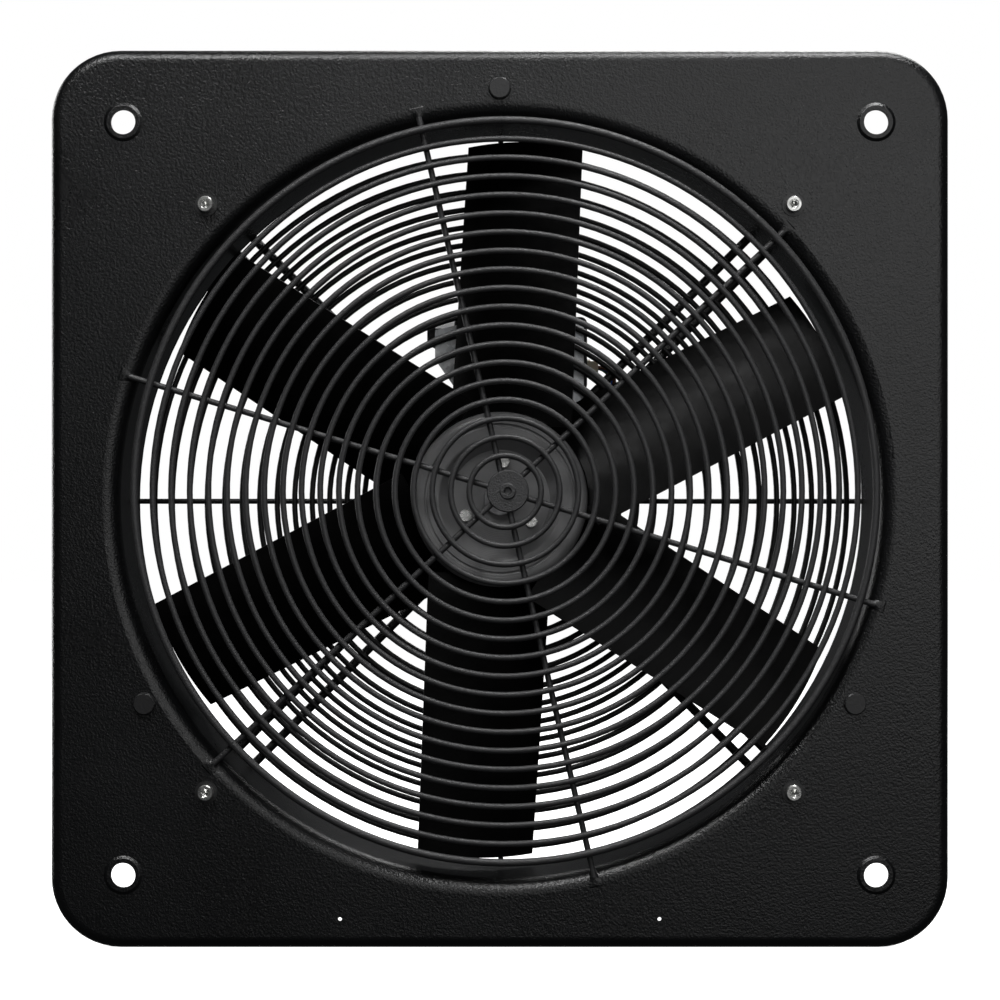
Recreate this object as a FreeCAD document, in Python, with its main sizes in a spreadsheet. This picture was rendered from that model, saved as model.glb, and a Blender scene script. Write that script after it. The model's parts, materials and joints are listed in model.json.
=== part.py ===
import FreeCAD, Part
import math
import os
import re
import Sketcher

# Square-plate axial fan.  Units are millimetres and degrees.
#
# Frame: the fan axis is Y.  Air enters from -Y, where the plate's front face and the
# flat guard are, and leaves towards +Y.  +Z is up.  The origin is on the fan axis, in
# the plane of the plate's back face, at the centre of the four wall bolts.
#
# Angles named "..._angle" are measured in the XZ plane from +X towards +Z, which is
# counter-clockwise for someone who stands in front of the fan.

SIZES = {
    # plate, its turned-back rim and the wall bolts
    "plate_side": 490.0,
    "plate_corner": 38.0,
    "plate_sheet": 2.0,
    "rim_depth": 12.0,
    "rim_bend": 6.5,
    "wall_bolt_spacing": 410.0,
    "wall_bolt_hole": 6.75,
    "boss_foot": 10.6,
    "boss_top": 9.0,
    "boss_height": 1.1,
    "boss_round": 0.6,
    "boss_groove": 9.0,
    "groove_deep": 0.85,
    "drain_hole": 1.1,
    "drain_side": 87.0,
    "drain_low": 229.0,
    # inlet mouth and duct
    "duct_bore": 207.5,
    "duct_back": 73.0,
    "mouth_bend": 9.0,
    # screws that hold the motor support, and the plugs of the unused support holes
    "support_screw_path": 226.0,
    "support_screw_hole": 2.75,
    "screw_shank": 2.5,
    "screw_length": 14.0,
    "thread_play": 0.05,
    "washer_play": 0.1,
    "cap_head": 4.25,
    "cap_head_deep": 5.0,
    "cap_head_edge": 0.4,
    "socket_across": 4.0,
    "socket_deep": 2.5,
    "socket_mouth": 2.65,
    "socket_mouth_deep": 0.35,
    "socket_drill_deep": 1.1,
    "washer_outer": 6.1,
    "washer_thick": 1.0,
    "clamp_outer": 6.9,
    "clamp_thick": 1.4,
    "nut_across": 8.0,
    "nut_thick": 4.0,
    "plug_path": 223.4,
    "plug_hole": 3.15,
    "plug_shank": 3.0,
    "plug_length": 8.0,
    "plug_across": 10.6,
    "plug_head": 3.0,
    "plug_collar": 6.2,
    "plug_collar_deep": 1.2,
    "plug_nut_across": 10.0,
    "plug_nut_thick": 5.0,
    # flat front guard, set a little off the fan axis
    "guard_shift_side": 3.0,
    "guard_shift_up": 3.9,
    "guard_first_ring": 19.55,
    "guard_pitch": 10.13,
    "guard_wire": 1.65,
    "guard_rim_wire": 2.1,
    "guard_back": 0.95,
    "guard_disc": 11.5,
    "guard_disc_side": 4.4,
    "guard_disc_up": 4.0,
    "guard_disc_thick": 2.0,
    "disc_edge": 0.6,
    "collar_outer": 4.6,
    "collar_inner": 2.3,
    "collar_height": 0.8,
    "collar_slope": 0.7,
    "spoke_angle": 43.0,
    "spoke_start": 4.0,
    "spoke_end": 212.5,
    # wire basket behind the impeller
    "basket_y": 77.65,
    "basket_outer_ring": 209.1,
    "basket_pitch": 10.06,
    "basket_wire": 1.6,
    "brace_wire": 1.5,
    "brace_start": 50.0,
    "arm_wire": 2.5,
    "arm_spread": 6.35,
    "arm_start": 36.0,
    "arm_drop_path": 214.0,
    "arm_bend": 5.0,
    # motor plate welded on the basket
    "motor_plate_outer": 60.0,
    "motor_plate_bore": 22.0,
    "motor_plate_thick": 3.0,
    "motor_screw_path": 31.0,
    "motor_screw_head": 4.6,
    "motor_screw_head_deep": 3.2,
    "motor_screw_length": 7.0,
    "lead_path": 39.0,
    "lead_angle": 22.0,
    "lead_hole": 5.0,
    # external-rotor motor
    "rotor_radius": 48.5,
    "rotor_front": 16.0,
    "rotor_back": 68.0,
    "rotor_wall": 2.5,
    "rotor_edge": 5.0,
    "recess_outer": 34.0,
    "recess_inner": 27.5,
    "recess_depth": 7.0,
    "groove_path": 41.0,
    "groove_wire": 0.9,
    "recess_hole": 9.0,
    "recess_round": 2.0,
    "rotor_screw_path": 21.0,
    "rotor_screw_turn": -5.0,
    "rotor_screw_shank": 2.0,
    "rotor_screw_length": 5.6,
    "rotor_screw_head": 3.6,
    "rotor_screw_head_deep": 2.8,
    "driver_slot": 1.0,
    "driver_slot_deep": 1.2,
    "core_front": 37.0,
    "core_back": 57.0,
    "stator_radius": 35.0,
    "stator_tooth_rim": 2.0,
    "slot_bottom": 20.0,
    "slot_width": 5.4,
    "slot_liner": 0.2,
    "slot_wedge": 0.6,
    "winding_inner": 17.0,
    "winding_outer": 32.5,
    "winding_front_deep": 5.5,
    "winding_back_deep": 7.0,
    "winding_round": 1.8,
    "air_gap": 0.5,
    "cage_ring_inset": 1.0,
    "cage_ring_width": 6.0,
    "cage_ring_deep": 4.0,
    "cage_bar_inset": 3.0,
    "cage_bar": 1.6,
    "tube_radius": 14.0,
    "tube_front": 29.5,
    "flange_radius": 46.0,
    "flange_thick": 6.0,
    "flange_edge": 1.5,
    "shoulder": 1.6,
    "cap_thick": 2.0,
    "hub_outer": 25.0,
    "hub_thick": 2.6,
    "hub_nose": 8.9,
    "hub_nose_deep": 5.5,
    "hub_root": 7.0,
    "hub_end": 6.2,
    "shaft_radius": 4.0,
    "shaft_front": 19.0,
    "shaft_back": 71.0,
    "shaft_chamfer": 0.6,
    # bearings: two deep-groove races on one size of ball
    "bearing_outside": 11.0,
    "bearing_width": 7.0,
    "inner_race_outside": 6.2,
    "outer_race_inside": 8.8,
    "ball_path": 7.5,
    "ball_radius": 1.9,
    "race_radius": 2.0,
    "cage_wall": 0.5,
    "cage_half": 2.5,
    "pocket_play": 0.06,
    "preload_outer_play": 0.1,
    "preload_width": 1.4,
    "preload_thick": 1.0,
    "clip_width": 2.0,
    "clip_thick": 1.0,
    "clip_play": 0.1,
    "clip_gap": 2.8,
    "front_bearing_y": 30.0,
    "rear_bearing_y": 60.0,
    # blades
    "blade_tip": 200.8,
    "blade_blank_end": 204.0,
    "blade_from": 42.0,
    "blade_sheet": 2.0,
    "blade_y": 43.0,
    "blade_offset": -3.8,
    "blade_angle": 27.0,
    "root_chord": 77.8,
    "root_pitch": 30.0,
    "root_camber": 7.0,
    "tip_chord": 68.4,
    "tip_pitch": 22.0,
    "tip_camber": 4.5,
    # terminal box, behind the basket
    "box_left": -27.0,
    "box_right": 50.0,
    "box_low": 64.0,
    "box_high": 107.0,
    "box_deep": 32.0,
    "box_wall": 2.0,
    "box_corner": 4.0,
    "box_front_edge": 1.5,
    "lid_deep": 5.0,
    "lid_edge": 1.8,
    "seal_deep": 1.0,
    "seal_inset": 0.4,
    "post_inset": 4.5,
    "post_radius": 3.0,
    "post_drill": 1.3,
    "post_drill_deep": 8.0,
    "lid_hole": 1.6,
    "lid_seat": 3.2,
    "lid_seat_deep": 2.2,
    "lid_screw_shank": 1.25,
    "lid_screw_length": 11.0,
    "lid_screw_head": 2.9,
    "lid_screw_head_deep": 1.9,
    "bracket_sheet": 2.0,
    "foot_half": 46.0,
    "foot_low": 38.0,
    "foot_high": 56.0,
    "ear_left": -38.0,
    "ear_low": 82.0,
    "bracket_screw_z": 76.0,
    "bracket_screw_shank": 2.0,
    "bracket_screw_hole": 2.1,
    "bracket_screw_head": 3.6,
    "bracket_screw_head_deep": 2.4,
    "strip_left": 14.0,
    "strip_right": 38.0,
    "strip_low": 4.0,
    "strip_tall": 15.0,
    "strip_deep": 12.5,
    "strip_pitch": 8.0,
    "strip_well": 2.4,
    "strip_well_deep": 4.5,
    "strip_screw": 2.1,
    "strip_screw_tall": 3.0,
    "capacitor_radius": 8.0,
    "capacitor_left": -21.0,
    "capacitor_right": 11.0,
    "capacitor_up": 15.9,
    "capacitor_off": 13.0,
    "earth_screw": 3.0,
    "earth_screw_tall": 4.0,
    "earth_screw_x": 31.0,
    "earth_screw_down": 12.0,
    # cable gland in the box's left wall
    "gland_z": 96.5,
    "gland_bore": 3.6,
    "gland_thread": 6.0,
    "gland_play": 0.1,
    "gland_thread_out": 9.0,
    "gland_thread_in": 8.0,
    "collar_across": 16.0,
    "collar_thick": 4.0,
    "dome_across": 15.0,
    "dome_deep": 7.0,
    "dome_mouth": 4.8,
    "dome_root": 7.2,
    "dome_nose": 5.0,
    "lock_across": 14.0,
    "lock_thick": 3.0,
    "lock_room": 8.4,
    # motor leads, their bushing in the box's right wall and their grommet in the flange
    "bushing_z": 78.0,
    "bushing_deep": 9.0,
    "bushing_radius": 4.9,
    "bushing_inside": 4.0,
    "bushing_head_out": 6.5,
    "bushing_head_half": 6.0,
    "bushing_head_up": 3.4,
    "conductor": 1.1,
    "lead_play": 0.02,
    "lead_gap": 3.4,
    "lead_bunch": 2.35,
    "lead_bend": 8.5,
    "lead_rise": 13.0,
    "knee_side": 7.0,
    "knee_back": 15.0,
    "knee_z": 42.0,
    "entry_side": 18.0,
    "grommet_bore": 3.7,
    "grommet_lip": 6.8,
    "grommet_crown": 6.0,
    "grommet_tall": 2.6,
    "grommet_deep": 9.5,
}

COUNT_GUARD_RINGS = 18
COUNT_SPOKES = 6
COUNT_BASKET_RINGS = 15
COUNT_BLADES = 6
COUNT_BALLS = 7
COUNT_SLOTS = 12
COUNT_TERMINALS = 3
PLUG_ANGLES = (90, 210, 330)
ARM_ANGLES = (45, 135, 225, 315)
QUARTERS = (0, 90, 180, 270)

doc = FreeCAD.newDocument("PlateFan")
sheet = doc.addObject("Spreadsheet::Sheet", "Sizes")
nodes = {}


def fill_sheet():
    for row, (alias, number) in enumerate(SIZES.items(), start=1):
        sheet.set("A%d" % row, alias)
        sheet.set("B%d" % row, str(number))
        sheet.setAlias("B%d" % row, alias)
    doc.recompute()


# ---------------------------------------------------------------- small helpers

def sized(text):
    """The text of an expression with every size name pointed at the spreadsheet."""
    def point(found):
        word = found.group()
        return "Sizes." + word if word in SIZES else word
    return re.sub(r"[a-z_]+", point, str(text))


def value(text):
    """The number that an expression gives."""
    return float(sheet.evalExpression(sized(text)))


def bind(item, **expressions):
    for name, text in expressions.items():
        item.setExpression(name, sized(text))


def place(item, x=0, y=0, z=0, axis=(1, 0, 0), turn=0):
    """Turns an object about an axis through its own origin and binds its position."""
    turned_by = FreeCAD.Rotation(FreeCAD.Vector(*axis), turn)
    item.Placement = FreeCAD.Placement(FreeCAD.Vector(value(x), value(y), value(z)), turned_by)
    for name, text in (("x", x), ("y", y), ("z", z)):
        item.setExpression("Placement.Base." + name, sized(text))
    return item


def node(item, label):
    item.Label = label
    nodes[label] = item
    return item


def origin_plane(body, role):
    return [plane for plane in body.Origin.OriginFeatures if plane.Role == role][0]


def new_sketch(body, name, role, lift=0):
    """A sketch on one of the body's own origin planes, lifted along the plane's normal."""
    sketch = body.newObject("Sketcher::SketchObject", name)
    sketch.AttachmentSupport = [(origin_plane(body, role), "")]
    sketch.MapMode = "FlatFace"
    if lift:
        sketch.setExpression("AttachmentOffset.Base.z", sized(lift))
    return sketch


def pin_point(sketch, geometry, point, x, y):
    """Holds a point of the sketch at a place given by two expressions."""
    for kind, text in (("DistanceX", x), ("DistanceY", y)):
        rule = Sketcher.Constraint(kind, -1, 1, geometry, point, value(text))
        index = sketch.addConstraint(rule)
        sketch.setExpression("Constraints[%d]" % index, sized(text))


def add_outline(sketch, points):
    """A closed outline of straight lines through points given as pairs of expressions."""
    spots = [FreeCAD.Vector(value(x), value(y), 0) for x, y in points]
    count = len(spots)
    first = sketch.GeometryCount
    for index in range(count):
        sketch.addGeometry(Part.LineSegment(spots[index], spots[(index + 1) % count]))
    for index in range(count):
        after = first + (index + 1) % count
        sketch.addConstraint(Sketcher.Constraint("Coincident", first + index, 2, after, 1))
        pin_point(sketch, first + index, 1, *points[index])


def add_circle(sketch, x, y, radius):
    spot = FreeCAD.Vector(value(x), value(y), 0)
    ring = sketch.addGeometry(Part.Circle(spot, FreeCAD.Vector(0, 0, 1), value(radius)))
    pin_point(sketch, ring, 3, x, y)
    index = sketch.addConstraint(Sketcher.Constraint("Radius", ring, value(radius)))
    sketch.setExpression("Constraints[%d]" % index, sized(radius))


def feature(body, kind, name, sketch, **expressions):
    item = body.newObject("PartDesign::" + kind, name)
    item.Profile = sketch
    bind(item, **expressions)
    return item


def pad(body, name, sketch, depth):
    """A pad that grows towards +Y from a sketch on the XZ plane."""
    item = feature(body, "Pad", name, sketch, Length=depth)
    item.Reversed = True
    return item


def revolve(body, name, points, kind="Revolution"):
    """Turns an outline given as (radius, y) pairs once round the fan axis direction."""
    sketch = new_sketch(body, name + "_outline", "XY_Plane")
    add_outline(sketch, points)
    item = feature(body, kind, name, sketch)
    item.ReferenceAxis = (sketch, ["V_Axis"])
    item.Angle = 360
    return item


def turned_body(name, points):
    body = doc.addObject("PartDesign::Body", name)
    revolve(body, name + "_turned", points)
    return body


def edges_where(shape, test):
    return ["Edge%d" % (i + 1) for i, edge in enumerate(shape.Edges) if test(edge)]


def round_edges(body, name, test, radius):
    """A fillet on the edges of the body's tip that pass the test."""
    doc.recompute()
    base = body.Tip
    item = body.newObject("PartDesign::Fillet", name)
    item.Base = (base, edges_where(base.Shape, test))
    bind(item, Radius=radius)
    return item


def ring_edge(edge, radius, y):
    """True for a full circle about the Y axis with this radius in this plane."""
    curve = edge.Curve
    if not isinstance(curve, Part.Circle):
        return False
    same_size = abs(curve.Radius - value(radius)) < 0.01
    on_axis = math.hypot(curve.Center.x, curve.Center.z) < 0.01
    return same_size and on_axis and abs(curve.Center.y - value(y)) < 0.01


def drum(name, radius, depth, y=0, x=0, z=0):
    """A plain cylinder along +Y."""
    item = doc.addObject("Part::Cylinder", name)
    bind(item, Radius=radius, Height=depth)
    return place(item, x, y, z, (1, 0, 0), -90)


def radial_rod(name, radius, start, end, angle, y, x=0, z=0):
    """A cylinder that runs out from (x, y, z) along a direction in the XZ plane."""
    item = doc.addObject("Part::Cylinder", name)
    bind(item, Radius=radius, Height="(%s) - (%s)" % (end, start))
    along = FreeCAD.Rotation(FreeCAD.Vector(0, -1, 0), value(angle))
    lying = FreeCAD.Rotation(FreeCAD.Vector(0, 1, 0), 90)
    item.Placement.Rotation = along.multiply(lying)
    item.setExpression("Placement.Base.x", sized("%s + (%s) * cos(%s)" % (x, start, angle)))
    item.setExpression("Placement.Base.y", sized(y))
    item.setExpression("Placement.Base.z", sized("%s + (%s) * sin(%s)" % (z, start, angle)))
    return item


def ring(name, path, wire, y, x=0, z=0):
    item = doc.addObject("Part::Torus", name)
    bind(item, Radius1=path, Radius2=wire)
    return place(item, x, y, z, (1, 0, 0), 90)


def block(name, low, high):
    """A box between two corners given as expressions."""
    item = doc.addObject("Part::Box", name)
    spans = ["(%s) - (%s)" % (b, a) for a, b in zip(low, high)]
    bind(item, Length=spans[0], Width=spans[1], Height=spans[2])
    return place(item, *low)


def group(label, items):
    """One node made of several separate solids."""
    item = doc.addObject("Part::Compound", label)
    item.Links = items
    return node(item, label)


def fuse(name, items):
    item = doc.addObject("Part::MultiFuse", name)
    item.Shapes = items
    return item


def cut(name, base, tool):
    item = doc.addObject("Part::Cut", name)
    item.Base = base
    item.Tool = tool
    return item


def copies(label, source, spots):
    """One node of equal solids: the source, repeated at (x, y, z) expressions."""
    links = []
    for index, spot in enumerate(spots):
        link = doc.addObject("App::Link", "%s_%d" % (label, index + 1))
        link.LinkedObject = source
        links.append(place(link, *spot))
    return group(label, links)


def round_spots(path, angles, y=0):
    """Places on a circle about the fan axis, as expressions."""
    return [("%s * cos(%s)" % (path, a), y, "%s * sin(%s)" % (path, a)) for a in angles]


def hexagon(across):
    """The corners of a hexagon of this width across its flats, as expressions."""
    reach = "(%s) / sqrt(3)" % across
    return [("%s * cos(%d)" % (reach, 60 * k), "%s * sin(%d)" % (reach, 60 * k)) for k in range(6)]


def hex_nut(name, across, bore, depth):
    body = doc.addObject("PartDesign::Body", name)
    sketch = new_sketch(body, name + "_outline", "XZ_Plane")
    add_outline(sketch, hexagon(across))
    add_circle(sketch, 0, 0, bore)
    pad(body, name + "_pad", sketch, depth)
    return body


def washer(name, outside, bore, depth):
    return turned_body(name, [(bore, 0), (outside, 0), (outside, depth), (bore, depth)])


def bent_wire(points, bend, radius):
    """A round wire along straight runs that are joined by tangent arcs."""
    corners = [FreeCAD.Vector(*p) for p in points]
    edges = []
    start = corners[0]
    for before, corner, after in zip(corners, corners[1:], corners[2:]):
        come = (corner - before).normalize()
        leave = (after - corner).normalize()
        half_turn = come.getAngle(leave) / 2
        trim = bend * math.tan(half_turn)
        arc_start = corner - come * trim
        arc_end = corner + leave * trim
        inward = (leave - come).normalize()
        middle = corner + inward * (bend / math.cos(half_turn) - bend)
        edges.append(Part.LineSegment(start, arc_start).toShape())
        edges.append(Part.Arc(arc_start, middle, arc_end).toShape())
        start = arc_end
    edges.append(Part.LineSegment(start, corners[-1]).toShape())
    return swept(edges, radius)


def swept(edges, radius):
    path = Part.Wire(edges)
    first = edges[0]
    tangent = first.tangentAt(first.FirstParameter)
    section = Part.Wire(Part.makeCircle(radius, first.valueAt(first.FirstParameter), tangent))
    solid = path.makePipeShell([section], True, True)
    expected = math.pi * radius ** 2 * path.Length
    if abs(solid.Volume - expected) > 0.01 * expected:
        raise ValueError("a swept wire has volume %.1f, not %.1f" % (solid.Volume, expected))
    return solid


def shape_node(label, shape):
    item = doc.addObject("Part::Feature", label)
    item.Shape = shape
    return node(item, label)


# ---------------------------------------------------------------- plate and duct

def plate_tray(body):
    """The square sheet with its rim turned back in a round bend."""
    half = "plate_side / 2"
    sketch = new_sketch(body, "plate_outline", "XZ_Plane", "plate_sheet")
    low = "-plate_side / 2"
    add_outline(sketch, [(low, low), (half, low), (half, half), (low, half)])
    pad(body, "plate_blank", sketch, "rim_depth")
    round_edges(body, "plate_corners", lambda e: e.BoundBox.YLength > 1, "plate_corner")
    front = -value("plate_sheet")
    round_edges(body, "rim_roll", lambda e: e.BoundBox.YMax < front + 0.01, "rim_bend")
    doc.recompute()
    roll = body.Tip
    back = value("rim_depth - plate_sheet")
    faces = enumerate(roll.Shape.Faces, start=1)
    open_face = ["Face%d" % i for i, face in faces if face.BoundBox.YMin > back - 0.01]
    tray = body.newObject("PartDesign::Thickness", "plate_tray")
    tray.Base = (roll, open_face)
    tray.Reversed = True
    bind(tray, Value="plate_sheet")


def plate_mouth(body):
    """The round opening, drawn back in a large bend into the short duct behind it."""
    opening = new_sketch(body, "mouth_outline", "XZ_Plane", "plate_sheet * 2")
    add_circle(opening, 0, 0, "duct_bore")
    feature(body, "Pocket", "mouth_opening", opening, Length="rim_depth * 2")
    wall = "duct_bore + plate_sheet"
    front = "-plate_sheet"
    revolve(body, "duct", [("duct_bore", front), (wall, front), (wall, "duct_back"),
                           ("duct_bore", "duct_back")])
    round_edges(body, "mouth_back", lambda e: ring_edge(e, wall, 0), "mouth_bend - plate_sheet")
    round_edges(body, "mouth_front", lambda e: ring_edge(e, "duct_bore", front), "mouth_bend")


def plate_bosses(body):
    """A low pressed boss round each wall bolt hole, with a round groove behind it."""
    spots = []
    for side in (-1, 1):
        for up in (-1, 1):
            spots.append(tuple("%d * wall_bolt_spacing / 2" % sign for sign in (side, up)))
    for x, z in spots:
        boss = body.newObject("PartDesign::AdditiveCone", "bolt_boss")
        bind(boss, Radius1="boss_foot", Radius2="boss_top", Height="boss_height")
        place(boss, x, "-plate_sheet", z, (1, 0, 0), 90)
        groove = body.newObject("PartDesign::SubtractiveTorus", "bolt_groove")
        bind(groove, Radius1="boss_groove", Radius2="groove_deep")
        place(groove, x, 0, z, (1, 0, 0), 90)
    crest = value("-plate_sheet - boss_height")
    round_edges(body, "boss_edges", lambda e: e.BoundBox.YMax < crest + 0.01, "boss_round")


def plate_holes(body):
    sketch = new_sketch(body, "hole_outlines", "XZ_Plane", "plate_sheet * 3")
    for side in (-1, 1):
        for up in (-1, 1):
            spot = "%d * wall_bolt_spacing / 2"
            add_circle(sketch, spot % side, spot % up, "wall_bolt_hole")
        add_circle(sketch, "%d * drain_side" % side, "-drain_low", "drain_hole")
    for x, y, z in round_spots("support_screw_path", ARM_ANGLES):
        add_circle(sketch, x, z, "support_screw_hole")
    for x, y, z in round_spots("plug_path", PLUG_ANGLES):
        add_circle(sketch, x, z, "plug_hole")
    feature(body, "Pocket", "holes", sketch, Length="rim_depth")


def spoke_reach(radius, angle):
    """Distance from the guard's own centre, along a spoke, to a circle about the fan axis."""
    side, up = "guard_shift_side", "guard_shift_up"
    miss = "(%s * sin(%s) - %s * cos(%s))" % (side, angle, up, angle)
    near = "(%s * cos(%s) + %s * sin(%s))" % (side, angle, up, angle)
    return "sqrt((%s)^2 - %s^2) - %s" % (radius, miss, near)


def spoke_angles():
    return ["spoke_angle + %d" % (360 / COUNT_SPOKES * k) for k in range(COUNT_SPOKES)]


def mounting_plate():
    body = doc.addObject("PartDesign::Body", "plate_pressing")
    plate_tray(body)
    plate_mouth(body)
    plate_bosses(body)
    plate_holes(body)
    return node(body, "mounting_plate")


# ---------------------------------------------------------------- front guard

GUARD_SPOKE_Y = "guard_back - guard_wire"
GUARD_RING_Y = "guard_back - 3 * guard_wire"
GUARD_CENTRE = {"x": "guard_shift_side", "z": "guard_shift_up"}


def front_guard(plate):
    """Rings on radial spokes, whose ends are shaped to the bend of the plate's mouth."""
    rings = []
    for index in range(COUNT_GUARD_RINGS):
        path = "guard_first_ring + %d * guard_pitch" % index
        rings.append(ring("guard_ring_%d" % (index + 1), path, "guard_wire", GUARD_RING_Y,
                          **GUARD_CENTRE))
    group("front_guard_rings", rings)
    rim_path = "guard_first_ring + %d * guard_pitch" % COUNT_GUARD_RINGS
    rim_y = "guard_back - 2 * guard_wire - guard_rim_wire"
    node(ring("guard_rim", rim_path, "guard_rim_wire", rim_y, **GUARD_CENTRE),
         "front_guard_rim")
    spokes = []
    for index, angle in enumerate(spoke_angles()):
        rod = radial_rod("spoke_rod_%d" % (index + 1), "guard_wire", "spoke_start",
                         spoke_reach("spoke_end", angle), angle, GUARD_SPOKE_Y, **GUARD_CENTRE)
        spokes.append(cut("guard_spoke_%d" % (index + 1), rod, plate))
    group("front_guard_spokes", spokes)


def guard_disc():
    """The small cap near the crossing of the spokes, with a raised collar round a blind hole."""
    back = "guard_back - 2 * guard_wire"
    face = "%s - guard_disc_thick" % back
    rim = "%s + disc_edge" % face
    crest = "%s - collar_height" % face
    body = turned_body("guard_disc_body", [
        ("0", back), ("guard_disc", back), ("guard_disc", rim), ("guard_disc - disc_edge", face),
        ("collar_outer", face), ("collar_outer - collar_slope", crest), ("collar_inner", crest),
        ("collar_inner - collar_slope", rim), ("0", rim)])
    place(body, "guard_disc_side", 0, "guard_disc_up")
    node(body, "front_guard_disc")


# ---------------------------------------------------------------- motor support basket

BASKET_BACK = "basket_y + basket_wire"


def rear_basket():
    rings = []
    for index in range(COUNT_BASKET_RINGS):
        path = "basket_outer_ring - %d * basket_pitch" % index
        rings.append(ring("basket_ring_%d" % (index + 1), path, "basket_wire", "basket_y"))
    group("rear_guard_rings", rings)
    braces = []
    for quarter in QUARTERS:
        braces.append(radial_rod("brace_%d" % quarter, "brace_wire", "brace_start",
                                 "basket_outer_ring + basket_wire", quarter,
                                 BASKET_BACK + " + brace_wire"))
    group("rear_guard_braces", braces)


def hairpin(angle):
    """A support arm: a wire that leaves the motor plate, runs out behind the basket, turns
    along the outside of the duct and comes back beside itself round the plate's screw."""
    inner = value("arm_start")
    drop = value("arm_drop_path")
    screw = value("support_screw_path")
    spread = value("arm_spread")
    back = value(BASKET_BACK + " + arm_wire")
    front = value("arm_wire")
    bend = value("arm_bend")
    turn = FreeCAD.Rotation(FreeCAD.Vector(0, -1, 0), angle)

    def at(out, aside, y):
        return turn.multVec(FreeCAD.Vector(out, y, aside))

    def arc(a, b, c):
        return Part.Arc(at(*a), at(*b), at(*c)).toShape()

    def line(a, b):
        return Part.LineSegment(at(*a), at(*b)).toShape()

    slack = bend * (1 - math.sqrt(0.5))

    def leg(aside):
        return [
            line((inner, aside, back), (drop - bend, aside, back)),
            arc((drop - bend, aside, back), (drop - slack, aside, back - slack),
                (drop, aside, back - bend)),
            line((drop, aside, back - bend), (drop, aside, front + bend)),
            arc((drop, aside, front + bend), (drop + slack, aside, front + slack),
                (drop + bend, aside, front)),
            line((drop + bend, aside, front), (screw, aside, front)),
        ]

    loop = arc((screw, spread, front), (screw + spread, 0, front), (screw, -spread, front))
    homeward = leg(-spread)
    homeward.reverse()
    return swept(Part.__sortEdges__(leg(spread) + [loop] + homeward), value("arm_wire"))


def support_arms():
    shape_node("motor_support_arms", Part.makeCompound([hairpin(a) for a in ARM_ANGLES]))


def motor_plate():
    body = doc.addObject("PartDesign::Body", "motor_plate_body")
    sketch = new_sketch(body, "motor_plate_outline", "XZ_Plane",
                        "motor_plate_thick - (%s)" % BASKET_BACK)
    add_circle(sketch, 0, 0, "motor_plate_outer")
    add_circle(sketch, 0, 0, "motor_plate_bore")
    for x, y, z in round_spots("motor_screw_path", QUARTERS):
        add_circle(sketch, x, z, "screw_shank + washer_play")
    add_circle(sketch, "lead_path * cos(lead_angle)", "lead_path * sin(lead_angle)", "lead_hole")
    pad(body, "motor_plate_pad", sketch, "motor_plate_thick")
    node(body, "motor_plate")


# ---------------------------------------------------------------- plate fasteners

def socket_screw(name):
    """M5 socket-head cap screw: the head's underside is at y = 0 and the shank runs to +Y."""
    dish = "socket_mouth_deep - cap_head_deep"
    body = turned_body(name, [
        ("0", dish), ("socket_mouth - socket_mouth_deep", dish),
        ("socket_mouth", "-cap_head_deep"), ("cap_head - cap_head_edge", "-cap_head_deep"),
        ("cap_head", "cap_head_edge - cap_head_deep"), ("cap_head", 0), ("screw_shank", 0),
        ("screw_shank", "screw_length"), ("0", "screw_length")])
    socket = new_sketch(body, name + "_socket", "XZ_Plane", "cap_head_deep + 1")
    add_outline(socket, hexagon("socket_across"))
    feature(body, "Pocket", name + "_hex", socket, Length="socket_deep + 1")
    drill = body.newObject("PartDesign::SubtractiveCone", name + "_drill")
    bind(drill, Radius1="socket_across / 2", Radius2=0, Height="socket_drill_deep")
    place(drill, 0, "socket_deep - cap_head_deep", 0, (1, 0, 0), -90)
    return body


def hole_plug(name):
    """A plug bolt: a low hexagon on a round collar, with a round shank behind it."""
    body = doc.addObject("PartDesign::Body", name)
    sketch = new_sketch(body, name + "_hex", "XZ_Plane", "plug_head")
    add_outline(sketch, hexagon("plug_across"))
    pad(body, name + "_head", sketch, "plug_head")
    middle = "(plug_across / 2)"
    revolve(body, name + "_bevel", [
        (middle, "-plug_head - 1"), ("2 * %s" % middle, "-plug_head - 1"),
        ("2 * %s" % middle, "0.6 * %s - plug_head" % middle), (middle, "-plug_head")], "Groove")
    revolve(body, name + "_collar", [
        ("0", "-plug_collar_deep"), ("plug_collar - 0.4 * plug_collar_deep", "-plug_collar_deep"),
        ("plug_collar", 0), ("plug_shank", 0), ("plug_shank", "plug_length"),
        ("0", "plug_length")])
    return body


def plate_fasteners():
    loose = "screw_shank + washer_play"
    screw_spots = round_spots("support_screw_path", ARM_ANGLES, "-plate_sheet - washer_thick")
    copies("support_screws", socket_screw("cap_screw"), screw_spots)
    copies("support_washers", washer("flat_washer", "washer_outer", loose, "washer_thick"),
           screw_spots)
    behind = round_spots("support_screw_path", ARM_ANGLES, "2 * arm_wire")
    copies("support_clamp_washers", washer("clamp_washer", "clamp_outer", loose, "clamp_thick"),
           behind)
    nut_spots = round_spots("support_screw_path", ARM_ANGLES, "2 * arm_wire + clamp_thick")
    nut = hex_nut("support_nut", "nut_across", "screw_shank + thread_play", "nut_thick")
    copies("support_nuts", nut, nut_spots)
    copies("plug_bolts", hole_plug("hole_plug"),
           round_spots("plug_path", PLUG_ANGLES, "-plate_sheet"))
    nut = hex_nut("plug_nut", "plug_nut_across", "plug_shank + thread_play", "plug_nut_thick")
    copies("plug_nuts", nut, round_spots("plug_path", PLUG_ANGLES))


# ---------------------------------------------------------------- motor, fixed half

FLANGE_BACK = "%s - motor_plate_thick" % BASKET_BACK
FLANGE_FRONT = "%s - flange_thick" % FLANGE_BACK


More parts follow.
